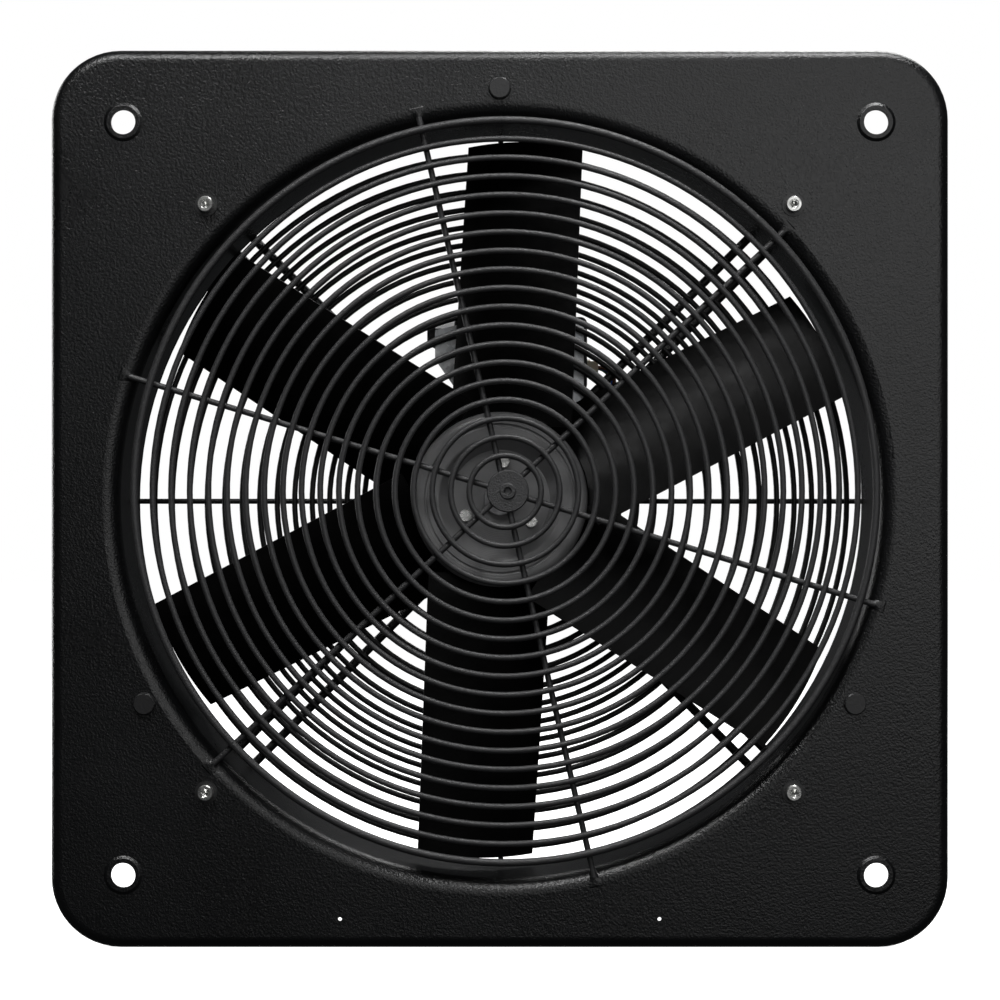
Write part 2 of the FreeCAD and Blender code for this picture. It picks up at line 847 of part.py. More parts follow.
def stator_flange():
    """Die-cast flange with the tube that carries both bearings and the stator core."""
    shoulder_front = "front_bearing_y + bearing_width + preload_thick"
    seat = "bearing_outside"
    body = turned_body("flange_body", [
        (seat, "tube_front"), ("tube_radius", "tube_front"), ("tube_radius", FLANGE_FRONT),
        ("flange_radius", FLANGE_FRONT), ("flange_radius", FLANGE_BACK), (seat, FLANGE_BACK),
        (seat, "rear_bearing_y"), ("bearing_outside - shoulder", "rear_bearing_y"),
        ("bearing_outside - shoulder", shoulder_front), (seat, shoulder_front)])
    sketch = new_sketch(body, "flange_holes", "XZ_Plane", "-(%s) + 1" % FLANGE_FRONT)
    for x, y, z in round_spots("motor_screw_path", QUARTERS):
        add_circle(sketch, x, z, "screw_shank + thread_play")
    add_circle(sketch, "lead_path * cos(lead_angle)", "lead_path * sin(lead_angle)", "lead_hole")
    feature(body, "Pocket", "flange_drilling", sketch, Length="flange_thick + 2")
    round_edges(body, "flange_edge", lambda e: ring_edge(e, "flange_radius", FLANGE_FRONT),
                "flange_edge")
    node(body, "stator_flange")
    node(drum("bearing_cap_drum", "bearing_outside", "cap_thick", "%s - cap_thick" % FLANGE_BACK),
         "bearing_cap")


def motor_screws():
    spots = round_spots("motor_screw_path", QUARTERS, BASKET_BACK)
    tall = "motor_screw_head_deep"
    body = turned_body("pan_screw", [
        ("0", "-motor_screw_length"), ("screw_shank", "-motor_screw_length"), ("screw_shank", 0),
        ("motor_screw_head", 0), ("motor_screw_head", "0.6 * %s" % tall),
        ("motor_screw_head - 0.3 * %s" % tall, tall), ("0", tall)])
    copies("motor_screws", body, spots)


def slot_bars(name, width, depth_front, depth_back, inner, outer):
    """Blocks that stand in the slots of the stator core."""
    bars = []
    for index in range(COUNT_SLOTS):
        item = doc.addObject("Part::Box", "%s_%d" % (name, index))
        bind(item, Length="(%s) - (%s)" % (outer, inner), Height=width,
             Width="(%s) - (%s)" % (depth_back, depth_front))
        angle = 360 / COUNT_SLOTS * index
        item.Placement.Rotation = FreeCAD.Rotation(FreeCAD.Vector(0, -1, 0), angle)
        shift = "(%s) * %s(%d) %s (%s) / 2 * %s(%d)"
        item.setExpression("Placement.Base.x", sized(shift % (inner, "cos", angle, "+", width,
                                                              "sin", angle)))
        item.setExpression("Placement.Base.z", sized(shift % (inner, "sin", angle, "-", width,
                                                              "cos", angle)))
        item.setExpression("Placement.Base.y", sized(depth_front))
        bars.append(item)
    return bars


def tube_ring(name, inner, outer, front, back):
    return turned_body(name, [(inner, front), (outer, front), (outer, back), (inner, back)])


def stator():
    """The slotted core, and the windings: a coil side in each slot and a ring at each end."""
    core = tube_ring("core_body", "tube_radius", "stator_radius", "core_front", "core_back")
    slots = slot_bars("core_slot", "slot_width", "core_front - 1", "core_back + 1", "slot_bottom",
                      "stator_radius - stator_tooth_rim")
    node(cut("core_cut", core, fuse("core_slots", slots)), "stator_core")
    ends = [tube_ring("winding_front", "winding_inner", "winding_outer",
                      "core_front - winding_front_deep", "core_front - slot_liner"),
            tube_ring("winding_back", "winding_inner", "winding_outer",
                      "core_back + slot_liner", "core_back + winding_back_deep")]
    for body in ends:
        round_edges(body, body.Name + "_round", lambda e: isinstance(e.Curve, Part.Circle),
                    "winding_round")
    bars = slot_bars("coil_side", "slot_width - 2 * slot_liner", "core_front - 1", "core_back + 1",
                     "slot_bottom + slot_liner", "stator_radius - stator_tooth_rim - slot_wedge")
    node(fuse("windings_fused", ends + bars), "stator_windings")


# ---------------------------------------------------------------- bearings

def race(name, profile, y):
    """A bearing ring with a ball groove in it."""
    body = turned_body(name, profile)
    track = ring(name + "_track", "ball_path", "race_radius", "%s + bearing_width / 2" % y)
    return cut(name + "_cut", body, track)


def bearing(side):
    """One deep-groove bearing: outer ring, inner ring, balls and the cage between them."""
    front = side + "_bearing_y"
    back = "%s + bearing_width" % front
    middle = "%s + bearing_width / 2" % front
    outer = [("outer_race_inside", front), ("bearing_outside", front), ("bearing_outside", back),
             ("outer_race_inside", back)]
    inner = [("shaft_radius", front), ("inner_race_outside", front),
             ("inner_race_outside", back), ("shaft_radius", back)]
    node(race(side + "_outer", outer, front), side + "_bearing_outer_ring")
    node(race(side + "_inner", inner, front), side + "_bearing_inner_ring")
    angles = [(k + 0.5) * 360 / COUNT_BALLS for k in range(COUNT_BALLS)]
    balls = []
    pockets = []
    for index, spot in enumerate(round_spots("ball_path", angles, middle)):
        ball = doc.addObject("Part::Sphere", "%s_ball_%d" % (side, index))
        bind(ball, Radius="ball_radius")
        balls.append(place(ball, *spot))
        pockets.append(radial_rod("%s_pocket_%d" % (side, index), "ball_radius + pocket_play",
                                  "ball_path - 2 * cage_wall", "ball_path + 2 * cage_wall",
                                  angles[index], middle))
    group(side + "_bearing_balls", balls)
    cage = tube_ring(side + "_cage_ring", "ball_path - cage_wall", "ball_path + cage_wall",
                     "%s - cage_half" % middle, "%s + cage_half" % middle)
    node(cut(side + "_cage_cut", cage, fuse(side + "_pockets", pockets)), side + "_bearing_cage")


def bearing_extras():
    """The spring washer that preloads the bearings and the clip that holds the shaft."""
    front = "front_bearing_y + bearing_width"
    outer = "bearing_outside - preload_outer_play"
    node(tube_ring("preload_body", "%s - preload_width" % outer, outer, front,
                   "%s + preload_thick" % front), "preload_washer")
    seat = "rear_bearing_y + bearing_width + clip_play"
    clip = tube_ring("clip_body", "shaft_radius", "shaft_radius + clip_width", seat,
                     "%s + clip_thick" % seat)
    gap = block("clip_mouth", ("-clip_gap / 2", "%s - 1" % seat, "-shaft_radius * 2"),
                ("clip_gap / 2", "%s + clip_thick + 1" % seat, 0))
    node(cut("clip_cut", clip, gap), "shaft_clip")


# ---------------------------------------------------------------- rotor

ROTOR_FLOOR = "rotor_front + recess_depth"
ROTOR_SCREW_ANGLES = ["%d + rotor_screw_turn" % angle for angle in PLUG_ANGLES]


def rotor_screw_holes(body, name, y, depth):
    sketch = new_sketch(body, name + "_outlines", "XZ_Plane", "1 - (%s)" % y)
    for x, y, z in round_spots("rotor_screw_path", ROTOR_SCREW_ANGLES):
        add_circle(sketch, x, z, "rotor_screw_shank + thread_play")
    feature(body, "Pocket", name, sketch, Length="%s + 2" % depth)


def rotor_bell():
    """Deep-drawn cup over the stator, with a dished front and a groove round it."""
    front, back = "rotor_front", "rotor_back"
    front_inside = "rotor_front + rotor_wall"
    floor_inside = "%s + rotor_wall" % ROTOR_FLOOR
    body = turned_body("bell_body", [
        ("rotor_radius", back), ("rotor_radius", front), ("recess_outer", front),
        ("recess_inner", ROTOR_FLOOR), ("recess_hole", ROTOR_FLOOR),
        ("recess_hole", floor_inside), ("recess_inner + 0.8 * rotor_wall", floor_inside),
        ("recess_outer + 0.8 * rotor_wall", front_inside),
        ("rotor_radius - rotor_wall", front_inside), ("rotor_radius - rotor_wall", back)])
    groove = body.newObject("PartDesign::SubtractiveTorus", "bell_groove")
    bind(groove, Radius1="groove_path", Radius2="groove_wire")
    place(groove, 0, front, 0, (1, 0, 0), 90)
    round_edges(body, "bell_edge", lambda e: ring_edge(e, "rotor_radius", front), "rotor_edge")
    round_edges(body, "recess_edge", lambda e: ring_edge(e, "recess_outer", front), "recess_round")
    rotor_screw_holes(body, "bell_drilling", ROTOR_FLOOR, "rotor_wall")
    node(body, "rotor_bell")


def rotor_core():
    """Laminated ring pressed into the bell, with the die-cast cage bars in it."""
    inner = "stator_radius + air_gap"
    iron = tube_ring("rotor_iron", inner, "rotor_radius - rotor_wall", "core_front", "core_back")
    bars = []
    bar_count = 2 * COUNT_SLOTS
    angles = [360 / bar_count * k for k in range(bar_count)]
    for index, (x, y, z) in enumerate(round_spots("(%s + cage_bar_inset)" % inner, angles)):
        bars.append(drum("cage_bar_%d" % index, "cage_bar", "core_back - core_front",
                         "core_front", x, z))
    holes = fuse("cage_bars", bars)
    node(cut("rotor_iron_cut", iron, holes), "rotor_laminations")
    ring_inner = "%s + cage_ring_inset" % inner
    ring_outer = "%s + cage_ring_width" % ring_inner
    ends = [tube_ring("cage_front", ring_inner, ring_outer, "core_front - cage_ring_deep",
                      "core_front"),
            tube_ring("cage_back", ring_inner, ring_outer, "core_back",
                      "core_back + cage_ring_deep")]
    node(fuse("rotor_cage_fused", [holes] + ends), "rotor_cage")


def shaft_parts():
    """The hub that is screwed into the bell, the shaft pressed in it and the three screws."""
    seat = "%s + rotor_wall" % ROTOR_FLOOR
    nose = "%s - hub_nose_deep" % seat
    back = "%s + hub_thick" % seat
    hub = turned_body("hub_body", [
        ("shaft_radius", nose), ("hub_nose - 0.5", nose), ("hub_nose", "%s + 0.5" % nose),
        ("hub_nose", seat), ("hub_outer", seat), ("hub_outer", back), ("hub_root", back),
        ("hub_end", "front_bearing_y"), ("shaft_radius", "front_bearing_y")])
    rotor_screw_holes(hub, "hub_drilling", seat, "hub_thick")
    node(hub, "shaft_hub")
    shaft = turned_body("shaft_body", [
        ("0", "shaft_front"), ("shaft_radius - shaft_chamfer", "shaft_front"),
        ("shaft_radius", "shaft_front + shaft_chamfer"),
        ("shaft_radius", "shaft_back - shaft_chamfer"),
        ("shaft_radius - shaft_chamfer", "shaft_back"), ("0", "shaft_back")])
    node(shaft, "shaft")
    top = "-rotor_screw_head_deep"
    screw = turned_body("rotor_screw", [
        ("0", top), ("rotor_screw_head - 0.5", top), ("rotor_screw_head", "%s + 0.6" % top),
        ("rotor_screw_head", 0), ("rotor_screw_shank", 0),
        ("rotor_screw_shank", "rotor_screw_length"), ("0", "rotor_screw_length")])
    slot = new_sketch(screw, "screw_slot", "XZ_Plane", "rotor_screw_head_deep + 1")
    half = "driver_slot / 2"
    reach = "rotor_screw_head + 1"
    add_outline(slot, [("-(%s)" % reach, "-(%s)" % half), (reach, "-(%s)" % half),
                       (reach, half), ("-(%s)" % reach, half)])
    feature(screw, "Pocket", "screw_slot_cut", slot, Length="driver_slot_deep + 1")
    copies("rotor_screws", screw, round_spots("rotor_screw_path", ROTOR_SCREW_ANGLES,
                                              ROTOR_FLOOR))


# ---------------------------------------------------------------- blades

def arc_radius(chord, camber):
    return "((%s)^2 / 4 + %s^2) / (2 * %s)" % (chord, camber, camber)


def blade_section(body, name, out, end):
    """A curved strip across the blade: (axial, sideways) is (x, y) of a sketch whose plane
    stands at a distance from the fan axis.  The strip bulges towards the intake side."""
    chord, camber, pitch = end + "_chord", end + "_camber", end + "_pitch"
    sketch = new_sketch(body, name, "YZ_Plane", out)
    mean = arc_radius(chord, camber)
    half = "2 * atan(2 * %s / %s) / 1 deg" % (camber, chord)
    centre_x = "blade_y + (%s - %s) * cos(%s)" % (mean, camber, pitch)
    centre_y = "blade_offset - (%s - %s) * sin(%s)" % (mean, camber, pitch)
    spot = FreeCAD.Vector(value(centre_x), value(centre_y), 0)
    first = math.radians(value("180 - %s - %s" % (pitch, half)))
    last = math.radians(value("180 - %s + %s" % (pitch, half)))
    arcs = []
    for step in ("+", "-"):
        radius = "%s %s blade_sheet / 2" % (mean, step)
        circle = Part.Circle(spot, FreeCAD.Vector(0, 0, 1), value(radius))
        arc = sketch.addGeometry(Part.ArcOfCircle(circle, first, last))
        pin_point(sketch, arc, 3, centre_x, centre_y)
        index = sketch.addConstraint(Sketcher.Constraint("Radius", arc, value(radius)))
        sketch.setExpression("Constraints[%d]" % index, sized(radius))
        for point, sign in ((1, "+"), (2, "-")):
            text = "%s + (%s) * sin(%s %s %s)" % (centre_y, radius, pitch, sign, half)
            rule = Sketcher.Constraint("DistanceY", -1, 1, arc, point, value(text))
            index = sketch.addConstraint(rule)
            sketch.setExpression("Constraints[%d]" % index, sized(text))
        arcs.append(arc)
    for point in (1, 2):
        ends = [sketch.getPoint(arc, point) for arc in arcs]
        edge = sketch.addGeometry(Part.LineSegment(*ends))
        sketch.addConstraint(Sketcher.Constraint("Coincident", edge, 1, arcs[0], point))
        sketch.addConstraint(Sketcher.Constraint("Coincident", edge, 2, arcs[1], point))
    return sketch


def blade(number):
    """A pressed sheet blade, welded to the side of the bell and trimmed round at its tip."""
    body = doc.addObject("PartDesign::Body", "blade_blank_%d" % number)
    root = blade_section(body, "root_section_%d" % number, "blade_from", "root")
    tip = blade_section(body, "tip_section_%d" % number, "blade_blank_end", "tip")
    loft = feature(body, "AdditiveLoft", "blade_loft_%d" % number, root)
    loft.Sections = [tip]
    loft.Ruled = True
    swept = cut("blade_swept_%d" % number,
                drum("blade_sweep_%d" % number, "blade_tip", "basket_y"),
                drum("blade_root_%d" % number, "rotor_radius", "basket_y"))
    item = doc.addObject("Part::Common", "blade_trim_%d" % number)
    item.Base = body
    item.Tool = swept
    angle = value("blade_angle") + 360 / COUNT_BLADES * (number - 1)
    item.Placement.Rotation = FreeCAD.Rotation(FreeCAD.Vector(0, -1, 0), angle)
    node(item, "blade_%d" % number)


# ---------------------------------------------------------------- terminal box

BRACKET_FRONT = "%s + 2 * arm_wire" % BASKET_BACK
BOX_FRONT = "%s + bracket_sheet" % BRACKET_FRONT
BOX_BACK = "%s + box_deep" % BOX_FRONT
SEAL_BACK = "%s + seal_deep" % BOX_BACK
LID_BACK = "%s + lid_deep" % SEAL_BACK
BUSHING_Y = "%s + bushing_deep" % BOX_FRONT
BOX_MIDDLE = "%s + box_deep / 2" % BOX_FRONT
BRACKET_SCREW_SIDES = (-10, 28)


def post_spots(y):
    spots = []
    for x in ("box_left + post_inset", "box_right - post_inset"):
        for z in ("box_low + post_inset", "box_high - post_inset"):
            spots.append((x, y, z))
    return spots


def box_outline(body, name, y, inset):
    """A rectangle, inset from the box's outside, in the plane at this y."""
    sketch = new_sketch(body, name, "XZ_Plane", "-(%s)" % y)
    left, right = "box_left + %s" % inset, "box_right - %s" % inset
    low, high = "box_low + %s" % inset, "box_high - %s" % inset
    add_outline(sketch, [(left, low), (right, low), (right, high), (left, high)])
    return sketch


def terminal_box_base():
    body = doc.addObject("PartDesign::Body", "box_base_body")
    pad(body, "box_blank", box_outline(body, "box_outside", BOX_FRONT, 0), "box_deep")
    round_edges(body, "box_corners", lambda e: e.BoundBox.YLength > 1, "box_corner")
    front = value(BOX_FRONT)
    round_edges(body, "box_front_edge", lambda e: e.BoundBox.YMax < front + 0.01,
                "box_front_edge")
    inside = box_outline(body, "box_inside", BOX_BACK, "box_wall")
    feature(body, "Pocket", "box_room", inside, Length="box_deep - box_wall").Reversed = True
    posts = new_sketch(body, "post_outlines", "XZ_Plane", "-(%s)" % BOX_FRONT)
    for x, y, z in post_spots(0):
        add_circle(posts, x, z, "post_radius")
    pad(body, "box_posts", posts, "box_deep")
    drilling = new_sketch(body, "post_drilling", "XZ_Plane", "post_drill_deep - (%s)" % BOX_BACK)
    for x, y, z in post_spots(0):
        add_circle(drilling, x, z, "post_drill")
    feature(body, "Pocket", "post_holes", drilling, Length="post_drill_deep + 1")
    room_end = "box_left + gland_thread_in + 1"
    entries = [
        side_drum("gland_entry", "gland_thread + gland_play", "box_left - 1", room_end, "gland_z"),
        side_drum("gland_nut_room", "lock_room", "box_left + box_wall", room_end, "gland_z"),
        side_drum("bushing_entry", "bushing_radius + gland_play",
                  "box_right - bushing_inside - box_wall", "box_right + 1", "bushing_z",
                  BUSHING_Y)]
    for index, x in enumerate(BRACKET_SCREW_SIDES):
        entries.append(drum("bracket_screw_hole_%d" % index, "bracket_screw_hole", "box_wall + 2",
                            "%s - 1" % BOX_FRONT, x, "bracket_screw_z"))
    node(cut("box_base_cut", body, fuse("box_entries", entries)), "terminal_box_base")


def side_drum(name, radius, start, end, z, y=None):
    """A cylinder along +X inside the box's depth."""
    item = doc.addObject("Part::Cylinder", name)
    bind(item, Radius=radius, Height="(%s) - (%s)" % (end, start))
    return place(item, start, y or BOX_MIDDLE, z, (0, 1, 0), 90)


def terminal_box_cover():
    seal = doc.addObject("PartDesign::Body", "box_seal_body")
    sketch = box_outline(seal, "seal_outline", BOX_BACK, "seal_inset")
    inner_left, inner_right = "box_left + box_wall", "box_right - box_wall"
    inner_low, inner_high = "box_low + box_wall", "box_high - box_wall"
    add_outline(sketch, [(inner_left, inner_low), (inner_right, inner_low),
                         (inner_right, inner_high), (inner_left, inner_high)])
    pad(seal, "seal_pad", sketch, "seal_deep")
    doc.recompute()
    outside = value("box_left + 1")

    def outer_corner(edge):
        along_y = edge.BoundBox.YLength > 0.5
        x = edge.BoundBox.XMin
        return along_y and (x < outside or x > value("box_right - 1"))

    round_edges(seal, "seal_corners", outer_corner, "box_corner - seal_inset")
    holes = fuse("seal_holes", [
        drum("seal_hole_%d" % k, "post_radius", "seal_deep + 2", "%s - 1" % BOX_BACK, x, z)
        for k, (x, y, z) in enumerate(post_spots(0))])
    node(cut("box_seal_cut", seal, holes), "terminal_box_seal")
    lid = doc.addObject("PartDesign::Body", "box_lid_body")
    pad(lid, "lid_blank", box_outline(lid, "lid_outline", SEAL_BACK, 0), "lid_deep")
    round_edges(lid, "lid_corners", lambda e: e.BoundBox.YLength > 1, "box_corner")
    back = value(LID_BACK)
    round_edges(lid, "lid_edge", lambda e: e.BoundBox.YMin > back - 0.01, "lid_edge")
    holes = new_sketch(lid, "lid_holes", "XZ_Plane", "-(%s) + 1" % SEAL_BACK)
    for x, y, z in post_spots(0):
        add_circle(holes, x, z, "lid_hole")
    feature(lid, "Pocket", "lid_drilling", holes, Length="lid_deep + 4")
    seats = new_sketch(lid, "lid_seats", "XZ_Plane", "lid_seat_deep - (%s)" % LID_BACK)
    for x, y, z in post_spots(0):
        add_circle(seats, x, z, "lid_seat")
    feature(lid, "Pocket", "lid_counterbores", seats, Length="lid_deep")
    node(lid, "terminal_box_lid")
    tall = "lid_screw_head_deep"
    screw = turned_body("lid_screw", [
        ("0", "-lid_screw_length"), ("lid_screw_shank", "-lid_screw_length"),
        ("lid_screw_shank", 0), ("lid_screw_head", 0), ("lid_screw_head", "0.6 * %s" % tall),
        ("lid_screw_head - 0.4 * %s" % tall, tall), ("0", tall)])
    slot = new_sketch(screw, "lid_screw_slot", "XZ_Plane", "-%s / 2" % tall)
    reach, half = "0.6 * lid_screw_head", "driver_slot / 2"
    add_outline(slot, [("-(%s)" % reach, "-(%s)" % half), (reach, "-(%s)" % half),
                       (reach, half), ("-(%s)" % reach, half)])
    feature(screw, "Pocket", "lid_screw_cut", slot, Length=tall)
    copies("terminal_box_screws", screw, post_spots("%s - lid_seat_deep" % LID_BACK))


def box_bracket():
    """Galvanised plate: its broad foot is welded across two support arms, its upper part
    carries the terminal box, and its left ear stands out beside the box."""
    body = doc.addObject("PartDesign::Body", "bracket_body")
    sketch = new_sketch(body, "bracket_outline", "XZ_Plane", "-(%s)" % BRACKET_FRONT)
    right, top, ear_top = "box_right - 2", "box_high - 4", "box_high - 8"
    add_outline(sketch, [
        ("-foot_half", "foot_low"), ("foot_half", "foot_low"), ("foot_half + 4", "foot_high - 6"),
        ("foot_half + 4", "foot_high"), (right, "foot_high + 4"), (right, top),
        ("ear_left + 18", top), ("ear_left", ear_top), ("ear_left", "ear_low"),
        ("ear_left + 14", "foot_high + 6"), ("4 - foot_half", "foot_high"),
        ("-foot_half - 4", "foot_high - 6")])
    for x in BRACKET_SCREW_SIDES:
        add_circle(sketch, x, "bracket_screw_z", "bracket_screw_hole")
    pad(body, "bracket_pad", sketch, "bracket_sheet")
    node(body, "box_bracket")
    top = "-bracket_screw_head_deep"
    screw = turned_body("bracket_screw", [
        ("0", top), ("bracket_screw_head - 0.8", top), ("bracket_screw_head", "%s + 0.8" % top),
        ("bracket_screw_head", 0), ("bracket_screw_shank", 0),
        ("bracket_screw_shank", "2 * bracket_sheet - 0.1"), ("0", "2 * bracket_sheet - 0.1")])
    spots = [(x, BRACKET_FRONT, "bracket_screw_z") for x in BRACKET_SCREW_SIDES]
    copies("bracket_screws", screw, spots)


def box_contents():
    """The terminal strip with its screws, the run capacitor and the earth screw."""
    inside = "%s + box_wall" % BOX_FRONT
    strip_front = "%s + strip_deep" % inside
    strip = block("strip_block", ("strip_left", inside, "box_low + strip_low"),
                  ("strip_right", strip_front, "box_low + strip_low + strip_tall"))
    floor = "%s - strip_well_deep" % strip_front
    middle = "box_low + strip_low + strip_tall / 2"
    wells = []
    pins = []
    for k in range(COUNT_TERMINALS):
        x = "strip_left + %g * strip_pitch" % (k + 0.5)
        wells.append(drum("strip_well_%d" % k, "strip_well", "strip_well_deep + 1", floor, x,
                          middle))
        pins.append(drum("strip_screw_%d" % k, "strip_screw", "strip_screw_tall", floor, x,
                         middle))
    node(cut("strip_cut", strip, fuse("strip_wells", wells)), "terminal_block")
    group("terminal_screws", pins)
    node(side_drum("capacitor_can", "capacitor_radius", "capacitor_left", "capacitor_right",
                   "box_low + capacitor_up", "%s + capacitor_off" % inside), "run_capacitor")
    node(drum("earth_screw_drum", "earth_screw", "earth_screw_tall", inside, "earth_screw_x",
              "box_high - earth_screw_down"), "earth_screw")


def cable_gland():
    """Small compression gland in the box's left wall, with a dome nut and an inner lock nut."""
    tight, loose = "gland_thread", "gland_thread + gland_play"
    outer_end = "box_left - gland_thread_out"
    inner_end = "box_left + gland_thread_in"
    far = "box_left - collar_thick - dome_deep - dome_nose - 1"
    collar_face = "box_left - collar_thick"
    dome_back = "%s - gland_play" % collar_face
    dome_front = "%s - dome_deep" % collar_face
    thread = side_drum("gland_shank", tight, outer_end, inner_end, "gland_z")
    collar = side_hex("gland_collar", "collar_across", collar_face, "box_left")
    bore = side_drum("gland_bore_cut", "gland_bore", far, "%s + 1" % inner_end, "gland_z")
    node(cut("gland_cut", fuse("gland_solid", [thread, collar]), bore), "cable_gland")
    dome_hex = side_hex("dome_hex", "dome_across", dome_front, dome_back)
    cone = doc.addObject("Part::Cone", "dome_cone")
    bind(cone, Radius1="dome_mouth", Radius2="dome_root", Height="dome_nose")
    place(cone, "%s - dome_nose" % dome_front, BOX_MIDDLE, "gland_z", (0, 1, 0), 90)
    hollow = side_drum("dome_thread", loose, "%s - 0.5" % outer_end, "box_left", "gland_z")
    mouth = side_drum("dome_mouth_cut", "gland_bore", far, "box_left", "gland_z")
    node(cut("dome_cut", fuse("dome_solid", [dome_hex, cone]), fuse("dome_room", [hollow, mouth])),
         "gland_dome_nut")
    seat = "box_left + box_wall"
    lock = side_hex("lock_hex", "lock_across", seat, "%s + lock_thick" % seat)
    hole = side_drum("lock_hole", loose, "box_left", "%s + 1" % inner_end, "gland_z")
    node(cut("lock_cut", lock, hole), "gland_lock_nut")


def side_hex(name, across, start, end):
    """A hexagonal prism along +X at the gland's height."""
    item = doc.addObject("Part::Prism", name)
    item.Polygon = 6
    bind(item, Circumradius="%s / sqrt(3)" % across, Height="(%s) - (%s)" % (end, start))
    return place(item, start, BOX_MIDDLE, "gland_z", (0, 1, 0), 90)


# ---------------------------------------------------------------- motor leads

LEAD_NAMES = ("lead_brown", "lead_blue", "lead_earth")


def lead_bushings():
    """The cream bushing in the box's right wall and the rubber grommet in the flange."""
    head_start, head_end = "box_right + 0.2", "box_right + bushing_head_out"
    solid = fuse("bushing_solid", [
        side_drum("bushing_body", "bushing_radius", "box_right - bushing_inside",
                  "box_right + 2", "bushing_z", BUSHING_Y),
        block("bushing_head",
              (head_start, "%s - bushing_head_half" % BUSHING_Y, "bushing_z - bushing_head_up"),
              (head_end, "%s + bushing_head_half" % BUSHING_Y, "bushing_z + bushing_head_up"))])
    bores = []
    for index in range(len(LEAD_NAMES)):
        y = "%s + %d * lead_gap" % (BUSHING_Y, index - 1)
        bores.append(side_drum("bushing_bore_%d" % index, "conductor + lead_play",
                               "box_right - bushing_inside - 1", "%s + 1" % head_end,
                               "bushing_z", y))
    node(cut("bushing_cut", solid, fuse("bushing_bores", bores)), "lead_bushing")
    inner_end = "%s - grommet_deep" % BASKET_BACK
    snug = "lead_hole - thread_play"
    top = "%s + grommet_tall" % BASKET_BACK
    body = turned_body("grommet_body", [
        ("grommet_bore", inner_end), (snug, inner_end), (snug, BASKET_BACK),
        ("grommet_lip", "%s + thread_play" % BASKET_BACK), ("grommet_crown", "%s - 0.4" % top),
        ("grommet_bore", top)])
    place(body, "lead_path * cos(lead_angle)", 0, "lead_path * sin(lead_angle)")
    node(body, "lead_grommet")


def bend_radii(points, bend):
    """Prints the radius of each bend of a lead and the angle that it turns through."""
    turns = []
    for before, corner, after in zip(points, points[1:], points[2:]):
        turns.append(math.degrees((corner - before).getAngle(after - corner)))
    print("bends of radius %.1f mm through" % bend, ", ".join("%.0f" % t for t in turns), "deg")


def motor_leads():
    """Three insulated conductors side by side, from the windings to the terminal strip."""
    gap = value("lead_gap")
    back = value(BASKET_BACK)
    right = value("box_right")
    bend = value("lead_bend")
    hole = FreeCAD.Vector(value("lead_path * cos(lead_angle)"), 0,
                          value("lead_path * sin(lead_angle)"))
    knee = FreeCAD.Vector(right + value("knee_side"), back + value("knee_back"), value("knee_z"))
    entry = FreeCAD.Vector(right + value("entry_side"), value(BUSHING_Y), value("bushing_z"))
    upward = FreeCAD.Vector(knee.x - hole.x, 0, knee.z - hole.z).normalize()
    aside = upward.cross(FreeCAD.Vector(0, 1, 0))
    inner_end = back - value("grommet_deep") + value("thread_play")
    for index, name in enumerate(LEAD_NAMES):
        rank = index - 1
        start = hole + aside * (value("lead_bunch") * rank)
        deep = FreeCAD.Vector(0, 1, 0) * (gap * rank)
        points = [
            start + FreeCAD.Vector(0, inner_end, 0),
            start + FreeCAD.Vector(0, back + value("lead_rise"), 0),
            knee + aside * (gap * rank),
            entry + deep,
            FreeCAD.Vector(value("strip_right"), entry.y, entry.z) + deep,
        ]
        shape_node(name, bent_wire(points, bend, value("conductor")))
        bend_radii(points, bend)


# ---------------------------------------------------------------- the whole fan

def check_and_write():
    doc.recompute()
    for item in doc.Objects:
        if "Invalid" in item.State or "Error" in item.State:
            raise RuntimeError("%s (%s) did not compute" % (item.Name, item.Label))
    os.makedirs("parts", exist_ok=True)
    for label, item in nodes.items():
        shape = Part.getShape(item)
        if shape.isNull() or not shape.isValid() or not shape.Solids:
            raise RuntimeError("%s has no sound shape" % label)
        print("%-26s %3d solids %12.1f mm3" % (label, len(shape.Solids), shape.Volume))
        shape.exportStep(os.path.join("parts", label + ".step"))
    print(len(nodes), "nodes")


def main():
    fill_sheet()
    front_guard(mounting_plate())
    guard_disc()
    rear_basket()
    support_arms()
    motor_plate()
    plate_fasteners()
    stator_flange()
    motor_screws()
    stator()
    bearing("front")
    bearing("rear")
    bearing_extras()
    rotor_bell()
    rotor_core()
    shaft_parts()
    for number in range(1, COUNT_BLADES + 1):
        blade(number)
    terminal_box_base()
    terminal_box_cover()
    box_bracket()
    box_contents()
    cable_gland()
    lead_bushings()
    motor_leads()
    check_and_write()


main()
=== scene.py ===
"""Looks for the plate-mounted axial fan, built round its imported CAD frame.

Metres, in the CAD frame: +Y runs along the fan axis with the air flow, +Z is up.
"""

import json
import math
import random

